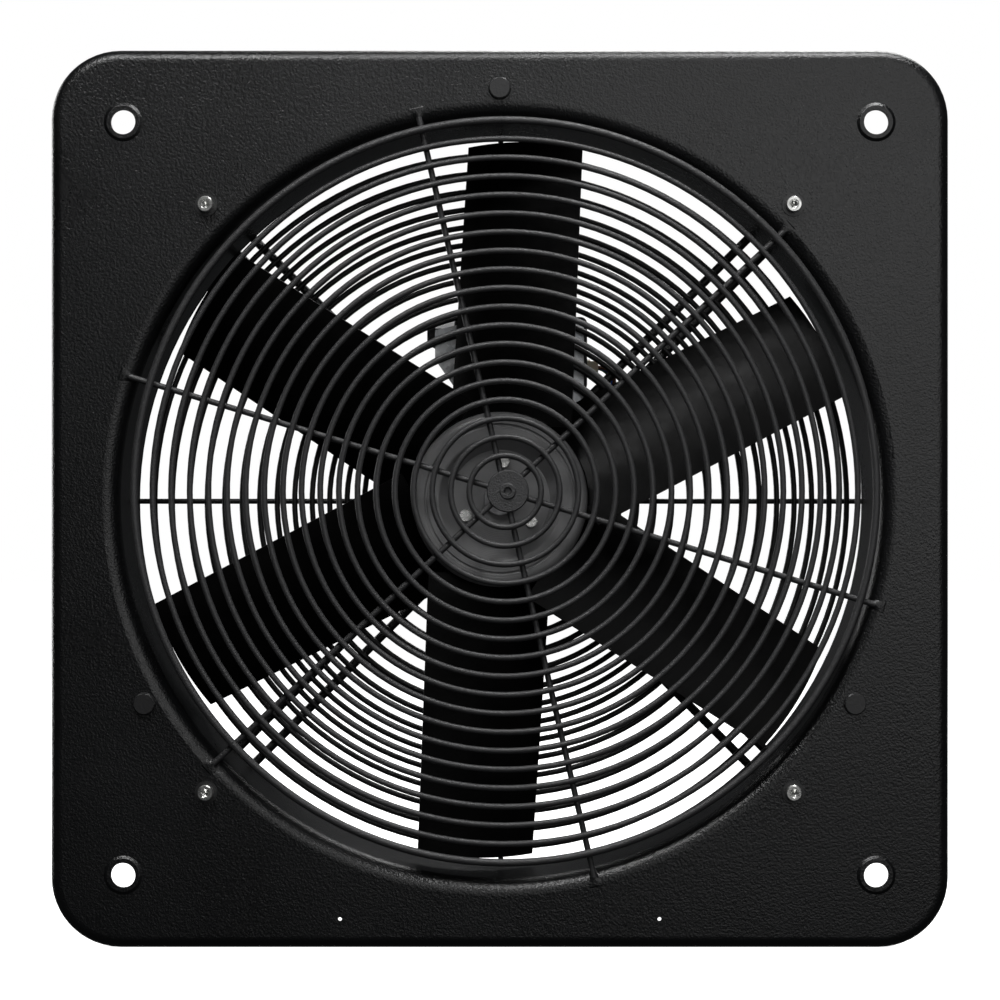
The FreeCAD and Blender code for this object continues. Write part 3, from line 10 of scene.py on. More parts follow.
import bmesh
import bpy
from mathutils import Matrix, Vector


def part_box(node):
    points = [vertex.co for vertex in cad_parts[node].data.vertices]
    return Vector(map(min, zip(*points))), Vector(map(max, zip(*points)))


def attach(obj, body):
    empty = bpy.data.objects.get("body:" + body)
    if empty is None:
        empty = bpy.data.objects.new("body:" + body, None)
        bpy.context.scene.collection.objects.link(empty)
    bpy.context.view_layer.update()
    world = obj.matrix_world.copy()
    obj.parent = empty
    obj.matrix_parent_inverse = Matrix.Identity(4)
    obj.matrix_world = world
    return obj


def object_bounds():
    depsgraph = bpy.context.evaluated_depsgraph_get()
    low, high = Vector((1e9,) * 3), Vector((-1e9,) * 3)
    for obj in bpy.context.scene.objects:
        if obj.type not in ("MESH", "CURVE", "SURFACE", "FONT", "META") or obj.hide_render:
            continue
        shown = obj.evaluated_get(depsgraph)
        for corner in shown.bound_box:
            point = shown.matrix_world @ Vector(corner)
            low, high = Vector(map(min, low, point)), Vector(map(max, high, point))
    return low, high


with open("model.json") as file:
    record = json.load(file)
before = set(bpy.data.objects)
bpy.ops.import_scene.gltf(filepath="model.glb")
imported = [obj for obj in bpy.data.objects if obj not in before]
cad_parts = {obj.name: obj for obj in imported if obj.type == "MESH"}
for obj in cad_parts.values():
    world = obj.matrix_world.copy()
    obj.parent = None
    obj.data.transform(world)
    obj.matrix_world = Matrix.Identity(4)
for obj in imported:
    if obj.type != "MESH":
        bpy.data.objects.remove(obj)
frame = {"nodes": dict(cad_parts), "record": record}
bpy.context.view_layer.update()
CAD_LOW, CAD_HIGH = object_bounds()
NODES = frame["nodes"]
SLOT_OF = {row["node"]: row["material_slot"] for row in frame["record"]["subparts"]}

# A millimetre in metres, and the direction of the fan axis, square to the plate.
MM = 0.001
SHEET_AXIS = Vector((0, 1, 0))


# ---------------------------------------------------------------- camera and light

# Places in metres, lens and sensor in millimetres, the shift in widths of the picture.
CAMERA_PLACE = (0.0103, -1.402, -0.0259)
LENS_MM = 92.57
SENSOR_MM = 36
LENS_SHIFT = (-0.0186, 0.0462)
NEAREST, FARTHEST = 0.05, 80

# Each lamp: its place, its width and height, its watts and the spot that it faces.
FACE, BACK = (0, 0.02, 0), (0, 0.1, 0)
LAMPS = {
    "front_right": ((0.5, -1.5, 0.42), (1.15, 1.15), 5.5, FACE),
    "top_front": ((-0.4, -0.95, 1.3), (0.5, 0.35), 15, FACE),
    "top_right": ((0.3, -0.26, 1.1), (0.5, 0.25), 9, FACE),
    "rear_top": ((0.5, 1.7, 1.9), (1.4, 1.0), 35, BACK),
    "rear_left": ((-1.6, 1.5, 0.3), (1.0, 1.4), 16, BACK),
}

# The surround shows as plain white, but its light on the fan is weak and a little blue.
WHITE = (1, 1, 1, 1)
SURROUND_SHOWN = 1.0
SURROUND_TINT = (0.93, 0.96, 1, 1)
SURROUND_LIGHT = 0.03

# Half the floor's width.
FLOOR_HALF = 14.0


def make_camera():
    """In front of the fan, nearly on its axis and looking along it, with a long lens."""
    data = bpy.data.cameras.new("camera")
    data.sensor_width = SENSOR_MM
    data.lens = LENS_MM
    data.shift_x, data.shift_y = LENS_SHIFT
    data.clip_start, data.clip_end = NEAREST, FARTHEST
    camera = bpy.data.objects.new("camera", data)
    camera.location = CAMERA_PLACE
    camera.rotation_euler = (math.pi / 2, 0, 0)
    bpy.context.scene.collection.objects.link(camera)
    bpy.context.scene.camera = camera


def soft_box(name, place, size, watts, target):
    """A rectangular studio lamp."""
    data = bpy.data.lights.new(name, "AREA")
    data.shape = "RECTANGLE"
    data.size, data.size_y = size
    data.energy = watts
    lamp = bpy.data.objects.new(name, data)
    lamp.location = place
    aim = Vector(target) - Vector(place)
    lamp.rotation_euler = aim.to_track_quat("-Z", "Y").to_euler()
    bpy.context.scene.collection.objects.link(lamp)


def make_world():
    """A pale surround; it lights the object much less than it shows."""
    world = bpy.data.worlds.new("studio")
    bpy.context.scene.world = world
    world.use_nodes = True
    nodes, links = world.node_tree.nodes, world.node_tree.links
    shown = nodes["Background"]
    shown.inputs["Color"].default_value = WHITE
    shown.inputs["Strength"].default_value = SURROUND_SHOWN
    fill = nodes.new("ShaderNodeBackground")
    fill.inputs["Color"].default_value = SURROUND_TINT
    fill.inputs["Strength"].default_value = SURROUND_LIGHT
    path = nodes.new("ShaderNodeLightPath")
    mix = nodes.new("ShaderNodeMixShader")
    links.new(path.outputs["Is Camera Ray"], mix.inputs["Fac"])
    links.new(fill.outputs[0], mix.inputs[1])
    links.new(shown.outputs[0], mix.inputs[2])
    links.new(mix.outputs[0], nodes["World Output"].inputs["Surface"])


def make_floor():
    """A plain pale floor that the plate's lower edge stands on."""
    mesh = bpy.data.meshes.new("floor")
    signs = ((-1, -1), (1, -1), (1, 1), (-1, 1))
    corners = [(x * FLOOR_HALF, y * FLOOR_HALF, CAD_LOW.z) for x, y in signs]
    mesh.from_pydata(corners, [], [(0, 1, 2, 3)])
    floor = bpy.data.objects.new("floor", mesh)
    bpy.context.scene.collection.objects.link(floor)
    floor.visible_diffuse = False
    floor.visible_glossy = False
    mesh.materials.append(floor_finish())


# ---------------------------------------------------------------- finishes

# Painted light on the wires is strongest at Y = 0 and gone at this Y (metres); the wires behind it are
# left darker as painted shade.
PAINTED_LIGHT_REACH = 0.05


class Finish:
    """One material: a Principled shader with its detail made by nodes in object space."""

    def __init__(self, name, color, rough, metal=0.0, **sockets):
        self.material = bpy.data.materials.new(name)
        self.material.use_nodes = True
        self.nodes = self.material.node_tree.nodes
        self.links = self.material.node_tree.links
        self.shader = self.nodes["Principled BSDF"]
        self.put("Base Color", (*color, 1))
        self.put("Roughness", rough)
        self.put("Metallic", metal)
        for socket, value in sockets.items():
            self.put(socket.replace("_", " "), value)
        self.space = self.nodes.new("ShaderNodeTexCoord").outputs["Object"]
        self.height = None

    def put(self, socket, value):
        self.shader.inputs[socket].default_value = value

    def feed(self, socket, source):
        self.links.new(source, self.shader.inputs[socket])

    def stretched(self, factors):
        """Object space scaled differently along its axes."""
        node = self.nodes.new("ShaderNodeMapping")
        node.inputs["Scale"].default_value = factors
        self.links.new(self.space, node.inputs["Vector"])
        return node.outputs["Vector"]

    def noise(self, scale, detail=2.0, rough=0.5, space=None, distortion=0.0):
        """Cloudy noise; a scale of 100 makes clouds of about a centimetre."""
        node = self.nodes.new("ShaderNodeTexNoise")
        node.inputs["Scale"].default_value = scale
        node.inputs["Detail"].default_value = detail
        node.inputs["Roughness"].default_value = rough
        node.inputs["Distortion"].default_value = distortion
        self.links.new(space or self.space, node.inputs["Vector"])
        return node.outputs["Fac"]

    def cells(self, scale):
        """A random colour for each cell; a scale of 100 makes cells of about a centimetre."""
        node = self.nodes.new("ShaderNodeTexVoronoi")
        node.inputs["Scale"].default_value = scale
        self.links.new(self.space, node.inputs["Vector"])
        return node.outputs["Color"]

    def bands(self, scale, kind, direction, distortion=0.0):
        """Even waves, as straight bands along a direction or as rings about it."""
        node = self.nodes.new("ShaderNodeTexWave")
        node.wave_type = kind
        if kind == "BANDS":
            node.bands_direction = direction
        else:
            node.rings_direction = direction
        node.inputs["Scale"].default_value = scale
        node.inputs["Distortion"].default_value = distortion
        node.inputs["Detail"].default_value = 2
        self.links.new(self.space, node.inputs["Vector"])
        return node.outputs["Fac"]

    def sum(self, one, other, share):
        """One source plus a share of the other."""
        node = self.nodes.new("ShaderNodeMath")
        node.operation = "MULTIPLY_ADD"
        self.links.new(other, node.inputs[0])
        node.inputs[1].default_value = share
        self.links.new(one, node.inputs[2])
        return node.outputs[0]

    def span(self, source, low, high, start=0.3, end=0.7):
        """The source's range start…end, spread over low…high."""
        node = self.nodes.new("ShaderNodeMapRange")
        node.inputs["From Min"].default_value = start
        node.inputs["From Max"].default_value = end
        node.inputs["To Min"].default_value = low
        node.inputs["To Max"].default_value = high
        self.links.new(source, node.inputs["Value"])
        return node.outputs["Result"]

    def tint(self, source, stops):
        """The source turned into colour by a ramp of (position, colour) stops."""
        node = self.nodes.new("ShaderNodeValToRGB")
        ramp = node.color_ramp
        while len(ramp.elements) < len(stops):
            ramp.elements.new(0.5)
        for element, (spot, color) in zip(ramp.elements, stops):
            element.position = spot
            element.color = (*color, 1)
        self.links.new(source, node.inputs["Fac"])
        return node.outputs["Color"]

    def bump(self, source, depth):
        """A height in metres, laid over the heights before it."""
        node = self.nodes.new("ShaderNodeBump")
        node.inputs["Distance"].default_value = depth
        node.inputs["Strength"].default_value = 1.0
        self.links.new(source, node.inputs["Height"])
        if self.height is not None:
            self.links.new(self.height, node.inputs["Normal"])
        self.height = node.outputs["Normal"]
        self.feed("Normal", self.height)

    def wear(self, source, colors, roughs):
        """Colour and roughness that drift together over the surface.

        Both go from their first value to their second as the source rises.
        """
        self.feed("Base Color", self.tint(source, [(0.35, colors[0]), (0.65, colors[1])]))
        self.feed("Roughness", self.span(source, *roughs))


def powder_coat(name, color, rough, grain, depth):
    """Baked powder paint: orange peel, a finer grit and a slow drift in its gloss."""
    coat = Finish(name, color, rough, Specular_IOR_Level=0.5)
    peel = coat.noise(grain, detail=2, rough=0.55)
    grit = coat.noise(grain * 3.1, detail=1)
    coat.bump(peel, depth=depth)
    coat.bump(grit, depth=depth * 0.25)
    drift = coat.noise(9, detail=3, rough=0.6)
    dust = coat.noise(grain * 0.4, detail=3, rough=0.7)
    both = coat.sum(drift, dust, share=0.35)
    light = tuple(c * 1.28 for c in color)
    coat.feed("Base Color", coat.tint(both, [(0.5, color), (0.9, light)]))
    coat.feed("Roughness", coat.span(both, rough - 0.04, rough + 0.07, start=0.4, end=0.95))
    return coat.material


def wire_coat(name):
    """Baked powder on the wire work, with random dust mottling; painted light makes the wires lighter
    towards the inlet side, and painted shade keeps those further back darker.
    """
    coat = Finish(name, (0.004, 0.004, 0.0042), rough=0.42, Specular_IOR_Level=0.45)
    peel = coat.noise(900, detail=2, rough=0.55)
    coat.bump(peel, depth=0.0003)
    coat.bump(coat.noise(2800, detail=1), depth=0.00008)
    # Painted light and shade: the colour is set by Y, lighter on the front wires and darker on the rear
    # ones, not by the lamps.
    apart = coat.nodes.new("ShaderNodeSeparateXYZ")
    coat.links.new(coat.space, apart.inputs[0])
    painted_front_light = coat.span(apart.outputs["Y"], low=1.0, high=0.0, start=0.0, end=PAINTED_LIGHT_REACH)
    dust = coat.noise(360, detail=3, rough=0.7)
    both = coat.sum(painted_front_light, dust, share=0.5)
    # The ramp's top colour is the painted light on the front wires; its lower colours are the painted
    # shade on the rear ones, mottled by the dust noise.
    coat.feed("Base Color", coat.tint(both, [(0.2, (0.002, 0.002, 0.0022)),
                                             (0.8, (0.006, 0.006, 0.0062)),
                                             (1.0, (0.030, 0.030, 0.031))]))
    coat.feed("Roughness", coat.span(dust, 0.36, 0.5))
    return coat.material


def blade_paint(name):
    """Dipped satin paint on pressed sheet, with the sheet's rolling grain showing through."""
    paint = Finish(name, (0.0015, 0.0015, 0.0015), rough=0.42, Specular_IOR_Level=0.12)
    cloud = paint.noise(34, detail=5, rough=0.7)
    speck = paint.noise(420, detail=2)
    paint.bump(speck, depth=0.0001)
    paint.bump(paint.noise(30, detail=1), depth=0.0016)
    paint.wear(cloud, ((0.0008, 0.0008, 0.0009), (0.0020, 0.0019, 0.0019)), roughs=(0.36, 0.5))
    return paint.material


def rotor_finish(name):
    """Grey-black paint over a turned and drawn cup: faint rings about the fan axis."""
    paint = Finish(name, (0.05, 0.05, 0.051), rough=0.4)
    rings = paint.bands(330, "RINGS", "Y", distortion=1.2)
    peel = paint.noise(380, detail=2)
    paint.bump(rings, depth=0.00004)
    paint.bump(peel, depth=0.00012)
    cloud = paint.noise(30, detail=4, rough=0.6)
    paint.wear(cloud, ((0.155, 0.155, 0.157), (0.21, 0.21, 0.212)), roughs=(0.30, 0.40))
    return paint.material


def zinc_plate(name, color, rough):
    """Bright zinc: soft mottling between duller and brighter patches, and fine tool marks."""
    zinc = Finish(name, color, rough, metal=1.0)
    mottle = zinc.noise(260, detail=3, rough=0.6)
    marks = zinc.noise(1500, detail=1)
    zinc.bump(marks, depth=0.00003)
    dull = tuple(c * 0.72 for c in color)
    zinc.wear(mottle, (dull, color), roughs=(rough + 0.14, rough - 0.06))
    return zinc.material


def cast_metal(name):
    """Die-cast aluminium with a grainy skin and flow marks."""
    cast = Finish(name, (0.55, 0.55, 0.56), rough=0.48, metal=1.0)
    grain = cast.noise(700, detail=3, rough=0.6)
    flow = cast.noise(60, detail=3, rough=0.5, distortion=1.5)
    cast.bump(grain, depth=0.00018)
    cast.wear(flow, ((0.42, 0.42, 0.43), (0.60, 0.60, 0.61)), roughs=(0.58, 0.4))
    return cast.material


def spangle(name):
    """Hot-dip galvanised sheet: crystal cells that each reflect a little differently."""
    sheet = Finish(name, (0.52, 0.53, 0.54), rough=0.38, metal=1.0)
    cell = sheet.cells(230)
    tone = sheet.nodes.new("ShaderNodeSeparateColor")
    sheet.links.new(cell, tone.inputs["Color"])
    shade = tone.outputs["Red"]
    feather = sheet.noise(900, detail=2, space=sheet.stretched((1, 1, 6)))
    mixed = sheet.sum(shade, feather, share=0.25)
    sheet.bump(feather, depth=0.00003)
    sheet.feed("Base Color", sheet.tint(mixed, [(0.1, (0.36, 0.37, 0.39)),
                                                (0.6, (0.52, 0.53, 0.54)),
                                                (1.0, (0.66, 0.67, 0.68))]))
    sheet.feed("Roughness", sheet.span(mixed, 0.3, 0.52, start=0.1, end=1.1))
    return sheet.material


def ground_steel(name, color, rough, scale, turned=True):
    """Ground metal with fine marks; they run round the fan axis where it is turned."""
    steel = Finish(name, color, rough, metal=1.0)
    along = steel.stretched((0.15, 6, 0.15)) if turned else None
    marks = steel.noise(scale, detail=2, rough=0.6, space=along)
    steel.bump(marks, depth=0.00002)
    stain = steel.noise(90, detail=3)
    dark = tuple(c * 0.8 for c in color)
    steel.wear(stain, (dark, color), roughs=(rough + 0.08, rough - 0.04))
    return steel.material


def laminations(name):
    """A pack of thin sheets, seen on edge, under thin varnish."""
    pack = Finish(name, (0.16, 0.15, 0.15), rough=0.42, metal=0.85)
    edges = pack.bands(314, "BANDS", "Y")
    stain = pack.noise(120, detail=4, rough=0.6)
    pack.bump(edges, depth=0.00012)
    pack.bump(pack.noise(1400, detail=2), depth=0.00002)
    pack.wear(stain, ((0.10, 0.09, 0.09), (0.21, 0.20, 0.20)), roughs=(0.5, 0.34))
    return pack.material


def enamelled_wire(name):
    """Layers of fine enamelled wire, laid side by side round the coils."""
    coil = Finish(name, (0.36, 0.12, 0.04), rough=0.28, metal=0.9, Coat_Weight=0.6, Coat_Roughness=0.15)
    turns = coil.bands(420, "RINGS", "Y", distortion=2.5)
    stray = coil.noise(500, detail=3)
    coil.bump(turns, depth=0.0003)
    coil.bump(stray, depth=0.0001)
    coil.wear(stray, ((0.25, 0.08, 0.025), (0.45, 0.17, 0.06)), roughs=(0.36, 0.22))
    return coil.material


def moulded(name, color, rough, grain=1100, depth=0.00004, **more):
    """Injection-moulded plastic with a spark-eroded skin and faint flow shading."""
    plastic = Finish(name, color, rough, **more)
    skin = plastic.noise(grain, detail=2, rough=0.6)
    flow = plastic.noise(24, detail=3, rough=0.5, distortion=1.0)
    plastic.bump(skin, depth=depth)
    light = tuple(min(1, c * 1.18 + 0.002) for c in color)
    plastic.wear(flow, (color, light), roughs=(rough - 0.04, rough + 0.08))
    return plastic.material


def rubber(name):
    """Black seal rubber with a greyish bloom."""
    soft = Finish(name, (0.012, 0.012, 0.012), rough=0.78, Specular_IOR_Level=0.3)
    bloom = soft.noise(150, detail=5, rough=0.7)
    soft.bump(soft.noise(1300, detail=2), depth=0.00006)
    soft.wear(bloom, ((0.010, 0.010, 0.010), (0.026, 0.026, 0.025)), roughs=(0.7, 0.88))
    return soft.material


def insulation(name, color, stripe=None):
    """Extruded wire insulation, slightly wavy, with a stripe along it where it has one."""
    skin = Finish(name, color, rough=0.3, Specular_IOR_Level=0.5)
    wave = skin.noise(190, detail=2)
    skin.bump(wave, depth=0.00025)
    skin.bump(skin.noise(1800, detail=1), depth=0.00002)
    if stripe:
        lines = skin.bands(62, "BANDS", "DIAGONAL", distortion=0.6)
        skin.feed("Base Color", skin.tint(lines, [(0.52, color), (0.56, stripe)]))
        skin.feed("Roughness", skin.span(wave, 0.24, 0.38))
    else:
        skin.wear(wave, (color, tuple(min(1, c * 1.25) for c in color)), roughs=(0.24, 0.38))
    return skin.material


def floor_finish():
    """Plain pale paper that glows, so that it shows as pale as the surround."""
    pale = Finish("studio_floor", (0.88, 0.88, 0.87), rough=0.75, Emission_Strength=1.0)
    pale.put("Emission Color", WHITE)
    soft = pale.noise(3, detail=3)
    pale.feed("Base Color", pale.tint(soft, [(0.3, (0.87, 0.87, 0.865)),
                                             (0.7, (0.9, 0.9, 0.895))]))
    return pale.material


# How the finish of each material slot is made, given the material's name.
FINISHES = {
    "powder_coat_plate": lambda name: powder_coat(
        name, (0.0030, 0.0031, 0.0034), rough=0.28, grain=820, depth=0.0003),
    "powder_coat_wire": wire_coat,
    "powder_coat_disc": lambda name: powder_coat(
        name, (0.03, 0.03, 0.031), rough=0.5, grain=900, depth=0.0005),
    "black_paint_blade": blade_paint,
    "rotor_paint": rotor_finish,
    "zinc_screw": lambda name: zinc_plate(name, (0.74, 0.74, 0.72), rough=0.26),
    "black_screw": lambda name: powder_coat(
        name, (0.012, 0.012, 0.0125), rough=0.4, grain=900, depth=0.00008),
    "cast_aluminium": cast_metal,
    "galvanised": spangle,
    "bearing_steel": lambda name: ground_steel(name, (0.66, 0.66, 0.67), rough=0.16, scale=900),
    "brass_terminal": lambda name: ground_steel(
        name, (0.72, 0.52, 0.2), rough=0.26, scale=1200, turned=False),
    "lamination_steel": laminations,
    "copper_winding": enamelled_wire,
    "shaft_steel": lambda name: ground_steel(name, (0.6, 0.6, 0.61), rough=0.22, scale=700),
    "black_plastic": lambda name: moulded(
        name, (0.016, 0.016, 0.017), rough=0.48, grain=900, depth=0.00008),
    "gland_plastic": lambda name: moulded(name, (0.021, 0.021, 0.022), rough=0.42),
    "seal_rubber": rubber,
    "cream_plastic": lambda name: moulded(
        name, (0.66, 0.58, 0.42), rough=0.4, depth=0.00003,
        Subsurface_Weight=0.12, Subsurface_Scale=0.002),
    "capacitor_plastic": lambda name: moulded(name, (0.62, 0.62, 0.58), rough=0.38),
    "brown_insulation": lambda name: insulation(name, (0.11, 0.035, 0.012)),
    "blue_insulation": lambda name: insulation(name, (0.015, 0.08, 0.42)),
    "earth_insulation": lambda name: insulation(
        name, (0.10, 0.32, 0.03), stripe=(0.75, 0.62, 0.02)),
}


# ---------------------------------------------------------------- welds

# Driving dimensions of the CAD parts that the welds lie on, in millimetres and degrees.
# An arm's two wires lie ARM_SPREAD to each side of its middle.
GUARD_FIRST_RING = 19.55
GUARD_PITCH = 10.13
GUARD_RINGS = 18
GUARD_WIRE = 1.65
SPOKE_ANGLE = 43.0
SPOKES = 6
BLADES = 6
BASKET_OUTER_RING = 209.1
BASKET_PITCH = 10.06
BASKET_RINGS = 15
ARM_SPREAD = 6.35
ARM_ANGLES = (45, 135, 225, 315)
BRACE_ANGLES = (0, 90, 180, 270)
MOUTH_BORE = 207.5
MOUTH_BEND = 9.0
PLATE_BOSS = 1.1

# How finely the welds are modelled.
NUGGET_LEVELS = 6
NUGGET_STEPS = 10
BEAD_STEPS = 8
SADDLE_ROWS = 14
SADDLE_COLUMNS = 7

# Nuggets: half width and half height (mm) for each kind of crossing, the powers that
# shape the cushion, and how square and how uneven its girth is, as shares of it.
GUARD_NUGGET = (GUARD_WIRE * 1.12, GUARD_WIRE * 0.62)
BRACE_NUGGET = (1.5, 0.85)
ARM_NUGGET = (1.9, 1.0)
NUGGET_FLAT, NUGGET_ROUND = 2.4, 0.7
NUGGET_SQUARE = 0.10
NUGGET_ROUGH = 0.06

# Beads: the ripples' phase (radians per mm); the rest are shares of the bead's radius:
# the ripples, the unevenness, an open run's end and how it grows from point to point.
RIPPLE_PHASE = 3.2
RIPPLE_DEEP = 0.12
BEAD_ROUGH = 0.05
BEAD_END, BEAD_GROWTH = 0.35, 0.5

# Runs on the motor plate: their step, and how far in from its edge they begin and end
# (mm); their place and thickness are shares of the support wire's radius.
ARM_WELD_STEP = 0.45
ARM_WELD_INNER, ARM_WELD_OUTER = 15, 2.5
ARM_WELD_ASIDE, ARM_WELD_UP, ARM_WELD_THICK = 0.72, 0.22, 0.42

# Points (mm) this near to each other count as one.
SAME_POINT = 0.001

# Runs round the blade roots (mm); a root point lies this near to the rotor's surface.
ROOT_SLACK = 0.03
ROOT_WELD_STEP = 0.6
ROOT_WELD_RADIUS = 1.15

# Saddles (mm): how far they start inside the mouth's edge and end outside it, and their
# half width, which grows by the flare.
SADDLE_INSIDE, SADDLE_OUTSIDE = 8.6, 1.4
SADDLE_NARROW, SADDLE_FLARE = 1.7, 4.6
SADDLE_FLARE_POWER = 1.8

# The ridge (mm): how far it lies behind the spoke's front at first, how far it comes
# forward along its length, and how steeply it drops back past a share of that length.
RIDGE_BEHIND, RIDGE_FORWARD = 0.45, 0.38
RIDGE_DROP, RIDGE_DROP_FROM = 1.2, 0.86

# Across a saddle: the power of its crown, how far its sides lie behind the mouth's
# surface, and how far its underside lies behind its top (mm).
CROWN_POWER = 0.8
SADDLE_SUNK = 0.06
SADDLE_THICK = 0.9

CHANCE = random.Random(11)


def box_mm(node):
    """The lower and upper corner of a CAD node's box, in millimetres."""
    low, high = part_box(node)
    return Vector(low) / MM, Vector(high) / MM


def out_from(angle):
    """Unit vector in the XZ plane, at this many degrees from +X towards +Z."""
    return Vector((math.cos(math.radians(angle)), 0, math.sin(math.radians(angle))))


def as_piece(name, bm, slot, body="frame"):
    """Turns a mesh given in millimetres into a piece that rides on a body."""
    bmesh.ops.scale(bm, vec=(MM, MM, MM), verts=bm.verts)
    bmesh.ops.recalc_face_normals(bm, faces=bm.faces)
    mesh = bpy.data.meshes.new(name)
    bm.to_mesh(mesh)
    bm.free()
    mesh.polygons.foreach_set("use_smooth", [True] * len(mesh.polygons))
    piece = bpy.data.objects.new(name, mesh)
    bpy.context.scene.collection.objects.link(piece)
    mesh.materials.append(finish_of[slot])
    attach(piece, body)


def add_tube(bm, rows):
    """Faces over rows of points, with each row's end joined to its start."""
    lines = [[bm.verts.new(point) for point in row] for row in rows]
    for upper, lower in zip(lines, lines[1:]):
        count = len(upper)
        for index in range(count):
            after = (index + 1) % count
            bm.faces.new((upper[index], upper[after], lower[after], lower[index]))
    return lines


def close_ends(bm, lines):
    """The first and last row of a tube become faces."""
    bm.faces.new(lines[0])
    bm.faces.new(list(reversed(lines[-1])))


def add_nugget(bm, centre, along, across, reach, tall):
    """The squeezed-out metal round a resistance weld: a flat cushion, slightly squared."""
    rows = []
    for level in range(1, NUGGET_LEVELS):
        height = -math.cos(math.pi * level / NUGGET_LEVELS)
        girth = (1 - abs(height) ** NUGGET_FLAT) ** NUGGET_ROUND
        row = []
        for step in range(NUGGET_STEPS):
            turn = 2 * math.pi * step / NUGGET_STEPS
            bulge = 1 + NUGGET_SQUARE * math.cos(4 * turn)
            bulge += CHANCE.uniform(-NUGGET_ROUGH, NUGGET_ROUGH)
            side = along * math.cos(turn) + across * math.sin(turn)
            row.append(centre + side * (reach * girth * bulge) + SHEET_AXIS * (height * tall))
        rows.append(row)
    close_ends(bm, add_tube(bm, rows))


def add_bead(bm, path, radius, normals=None, closed=False):
    """A run of weld along a path: overlapping ripples, thinner at the ends of an open run."""
    rows = []
    count = len(path)
    travelled = 0.0
    for index, point in enumerate(path):
        before = path[index - 1] if closed or index else point
        after = path[(index + 1) % count] if closed or index + 1 < count else point
        tangent = (after - before).normalized()
        travelled += (point - before).length
        side = tangent.cross(normals[index] if normals else SHEET_AXIS).normalized()
        lift = side.cross(tangent)
        from_end = min(index, count - 1 - index)
        ends = 1.0 if closed else min(1.0, BEAD_END + BEAD_GROWTH * from_end)
        ripple = 1 + RIPPLE_DEEP * math.sin(travelled * RIPPLE_PHASE)
        ripple += CHANCE.uniform(-BEAD_ROUGH, BEAD_ROUGH)
        girth = radius * ends * ripple
        row = []
        for step in range(BEAD_STEPS):
            turn = 2 * math.pi * step / BEAD_STEPS
            row.append(point + side * (girth * math.cos(turn)) + lift * (girth * math.sin(turn)))
        rows.append(row)
    if closed:
        rows.append(rows[0])
    lines = add_tube(bm, rows)
    if closed:
        bmesh.ops.remove_doubles(bm, verts=lines[0] + lines[-1], dist=SAME_POINT)
    else:
        close_ends(bm, lines)


def guard_welds():
    """A nugget where each ring and the rim of the flat guard cross a spoke."""
    bm = bmesh.new()
    low, high = box_mm("front_guard_rim")
    centre = (low + high) / 2
    contact = box_mm("front_guard_rings")[1].y
    for spoke in range(SPOKES):
        along = out_from(SPOKE_ANGLE + 360 / SPOKES * spoke)
        across = along.cross(SHEET_AXIS)
        for index in range(GUARD_RINGS + 1):
            reach = GUARD_FIRST_RING + index * GUARD_PITCH
            spot = Vector((centre.x, contact, centre.z)) + along * reach
            add_nugget(bm, spot, along, across, *GUARD_NUGGET)
    as_piece("guard_welds", bm, "powder_coat_wire")


def basket_welds():
    """Nuggets where the rear rings cross the braces and the support arms."""
    bm = bmesh.new()
    contact = box_mm("rear_guard_rings")[1].y
    middle = Vector((0, contact, 0))
    for index in range(BASKET_RINGS):
        path = BASKET_OUTER_RING - index * BASKET_PITCH
        for angle in BRACE_ANGLES:
            along = out_from(angle)
            across = along.cross(SHEET_AXIS)
            add_nugget(bm, middle + along * path, along, across, *BRACE_NUGGET)
        for angle in ARM_ANGLES:
            along = out_from(angle)
            across = along.cross(SHEET_AXIS)
            reach = math.sqrt(path ** 2 - ARM_SPREAD ** 2)
            for side in (-ARM_SPREAD, ARM_SPREAD):
                spot = middle + along * reach + across * side
                add_nugget(bm, spot, along, across, *ARM_NUGGET)
    as_piece("basket_welds", bm, "powder_coat_wire")


def spread_out(start, end, step):
    """Distances from start to end, in even steps of about the one given."""
    count = max(2, round((end - start) / step))
    return [start + (end - start) * number / count for number in range(count + 1)]


def arm_welds():
    """Beads along both sides of each support wire where it lies on the motor plate."""
    bm = bmesh.new()
    low, high = box_mm("motor_plate")
    plate_radius, face = (high.x - low.x) / 2, high.y
    wire = (box_mm("motor_support_arms")[1].y - face) / 2
    for angle in ARM_ANGLES:
        along = out_from(angle)
        across = along.cross(SHEET_AXIS)
        for leg in (-ARM_SPREAD, ARM_SPREAD):
            for side in (-1, 1):
                offset = across * (leg + side * wire * ARM_WELD_ASIDE)
                reaches = spread_out(plate_radius - ARM_WELD_INNER,
                                     plate_radius - ARM_WELD_OUTER, ARM_WELD_STEP)
                run = [Vector((0, face + wire * ARM_WELD_UP, 0)) + offset + along * reach
                       for reach in reaches]
                add_bead(bm, run, wire * ARM_WELD_THICK)
    as_piece("arm_welds", bm, "powder_coat_wire")


def mouth_surface(radius):
    """How far back the bend of the plate's mouth lies at this distance from the fan axis."""
    edge = MOUTH_BORE + MOUTH_BEND
    front = box_mm("mounting_plate")[0].y + PLATE_BOSS
    inside = min(max(edge - radius, 0.0), MOUTH_BEND)
    return front + MOUTH_BEND - math.sqrt(MOUTH_BEND ** 2 - inside ** 2)


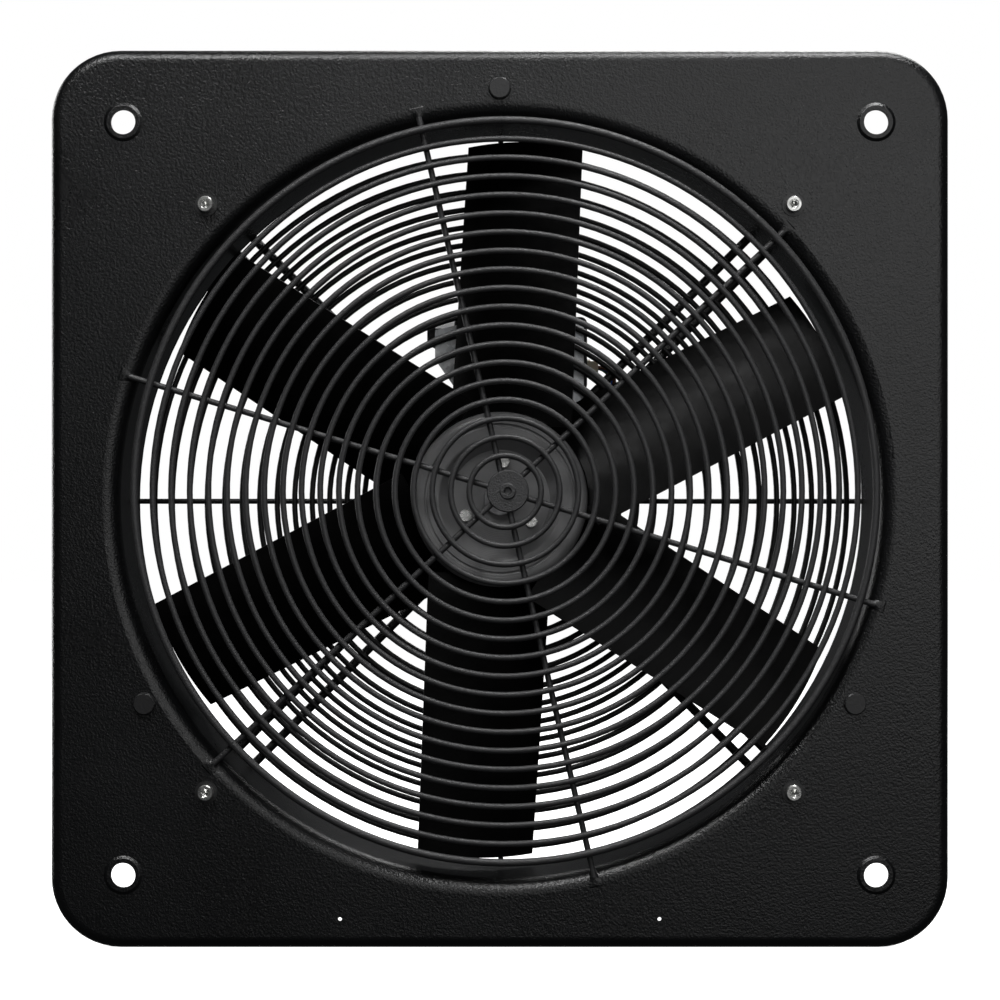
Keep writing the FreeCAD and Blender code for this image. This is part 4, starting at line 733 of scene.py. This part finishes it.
def spoke_saddles():
    """Where each spoke meets the mouth, the weld and paint flare out over the bend."""
    bm = bmesh.new()
    low, high = box_mm("front_guard_rim")
    centre = Vector(((low.x + high.x) / 2, 0, (low.z + high.z) / 2))
    spoke_front = box_mm("front_guard_spokes")[0].y
    edge = MOUTH_BORE + MOUTH_BEND
    for spoke in range(SPOKES):
        along = out_from(SPOKE_ANGLE + 360 / SPOKES * spoke)
        across = along.cross(SHEET_AXIS)
        miss = (centre - along * centre.dot(along)).length
        top, under = [], []
        for step in range(SADDLE_ROWS + 1):
            part = step / SADDLE_ROWS
            radius = edge - SADDLE_INSIDE + (SADDLE_INSIDE + SADDLE_OUTSIDE) * part
            reach = math.sqrt(radius ** 2 - miss ** 2) - centre.dot(along)
            half = SADDLE_NARROW + SADDLE_FLARE * part ** SADDLE_FLARE_POWER
            ground = mouth_surface(radius)
            ridge = spoke_front + RIDGE_BEHIND - RIDGE_FORWARD * part
            ridge += RIDGE_DROP * max(0.0, part - RIDGE_DROP_FROM)
            line, below = [], []
            for place in range(-SADDLE_COLUMNS, SADDLE_COLUMNS + 1):
                aside = place / SADDLE_COLUMNS
                swell = (0.5 + 0.5 * math.cos(math.pi * aside)) ** CROWN_POWER
                height = ground + SADDLE_SUNK + (ridge - ground) * swell
                spot = centre + along * reach + across * (half * aside)
                line.append(spot + SHEET_AXIS * height)
                below.append(spot + SHEET_AXIS * (max(ground, height) + SADDLE_THICK))
            top.append(line)
            under.append(below)
        rows = [line + list(reversed(below)) for line, below in zip(top, under)]
        close_ends(bm, add_tube(bm, rows))
    as_piece("spoke_saddles", bm, "powder_coat_plate")


def root_outline(item, radius):
    """The closed outline, in millimetres, of the blade's face against the rotor."""
    bm = bmesh.new()
    bm.from_mesh(item.data)
    bmesh.ops.scale(bm, vec=(1 / MM, 1 / MM, 1 / MM), verts=bm.verts)
    bmesh.ops.remove_doubles(bm, verts=bm.verts, dist=SAME_POINT)
    near = {vert for vert in bm.verts
            if abs(math.hypot(vert.co.x, vert.co.z) - radius) < ROOT_SLACK}
    rim = []
    for edge in bm.edges:
        on_root = [all(vert in near for vert in face.verts) for face in edge.link_faces]
        if len(on_root) == 2 and on_root[0] != on_root[1]:
            rim.append(edge)
    beside = {}
    for edge in rim:
        one, other = edge.verts
        beside.setdefault(one, []).append(other)
        beside.setdefault(other, []).append(one)
    start = here = rim[0].verts[0]
    last, loop = None, []
    while True:
        loop.append(here.co.copy())
        onward = [vert for vert in beside[here] if vert is not last]
        last, here = here, onward[0]
        if here is start:
            break
    bm.free()
    return loop


def even_steps(loop, pitch):
    """Points at an even pitch, along the line, round a closed outline."""
    closed = loop + [loop[0]]
    points = []
    carry = 0.0
    for one, other in zip(closed, closed[1:]):
        length = (other - one).length
        spot = carry
        while spot < length:
            points.append(one.lerp(other, spot / length))
            spot += pitch
        carry = spot - length
    return points


def root_welds():
    """A rippled bead all the way round each blade's root on the side of the rotor."""
    low, high = box_mm("rotor_bell")
    radius = (high.x - low.x) / 2
    for number in range(1, BLADES + 1):
        bm = bmesh.new()
        outline = root_outline(NODES["blade_%d" % number], radius)
        path = even_steps(outline, ROOT_WELD_STEP)
        outward = [Vector((point.x, 0, point.z)).normalized() for point in path]
        add_bead(bm, path, ROOT_WELD_RADIUS, outward, closed=True)
        as_piece("root_weld_%d" % number, bm, "black_paint_blade", "impeller")


def dress_nodes():
    """Gives each CAD node its finish."""
    for name, item in NODES.items():
        for holder in item.material_slots:
            holder.material = finish_of[SLOT_OF[name]]


make_camera()
make_world()
for lamp_name, lamp_facts in LAMPS.items():
    soft_box(lamp_name, *lamp_facts)
make_floor()
finish_of = {slot: make(slot + "_finish") for slot, make in FINISHES.items()}
dress_nodes()
guard_welds()
basket_welds()
arm_welds()
spoke_saddles()
root_welds()

bpy.context.scene.view_settings.view_transform = "Standard"
bpy.context.view_layer.update()
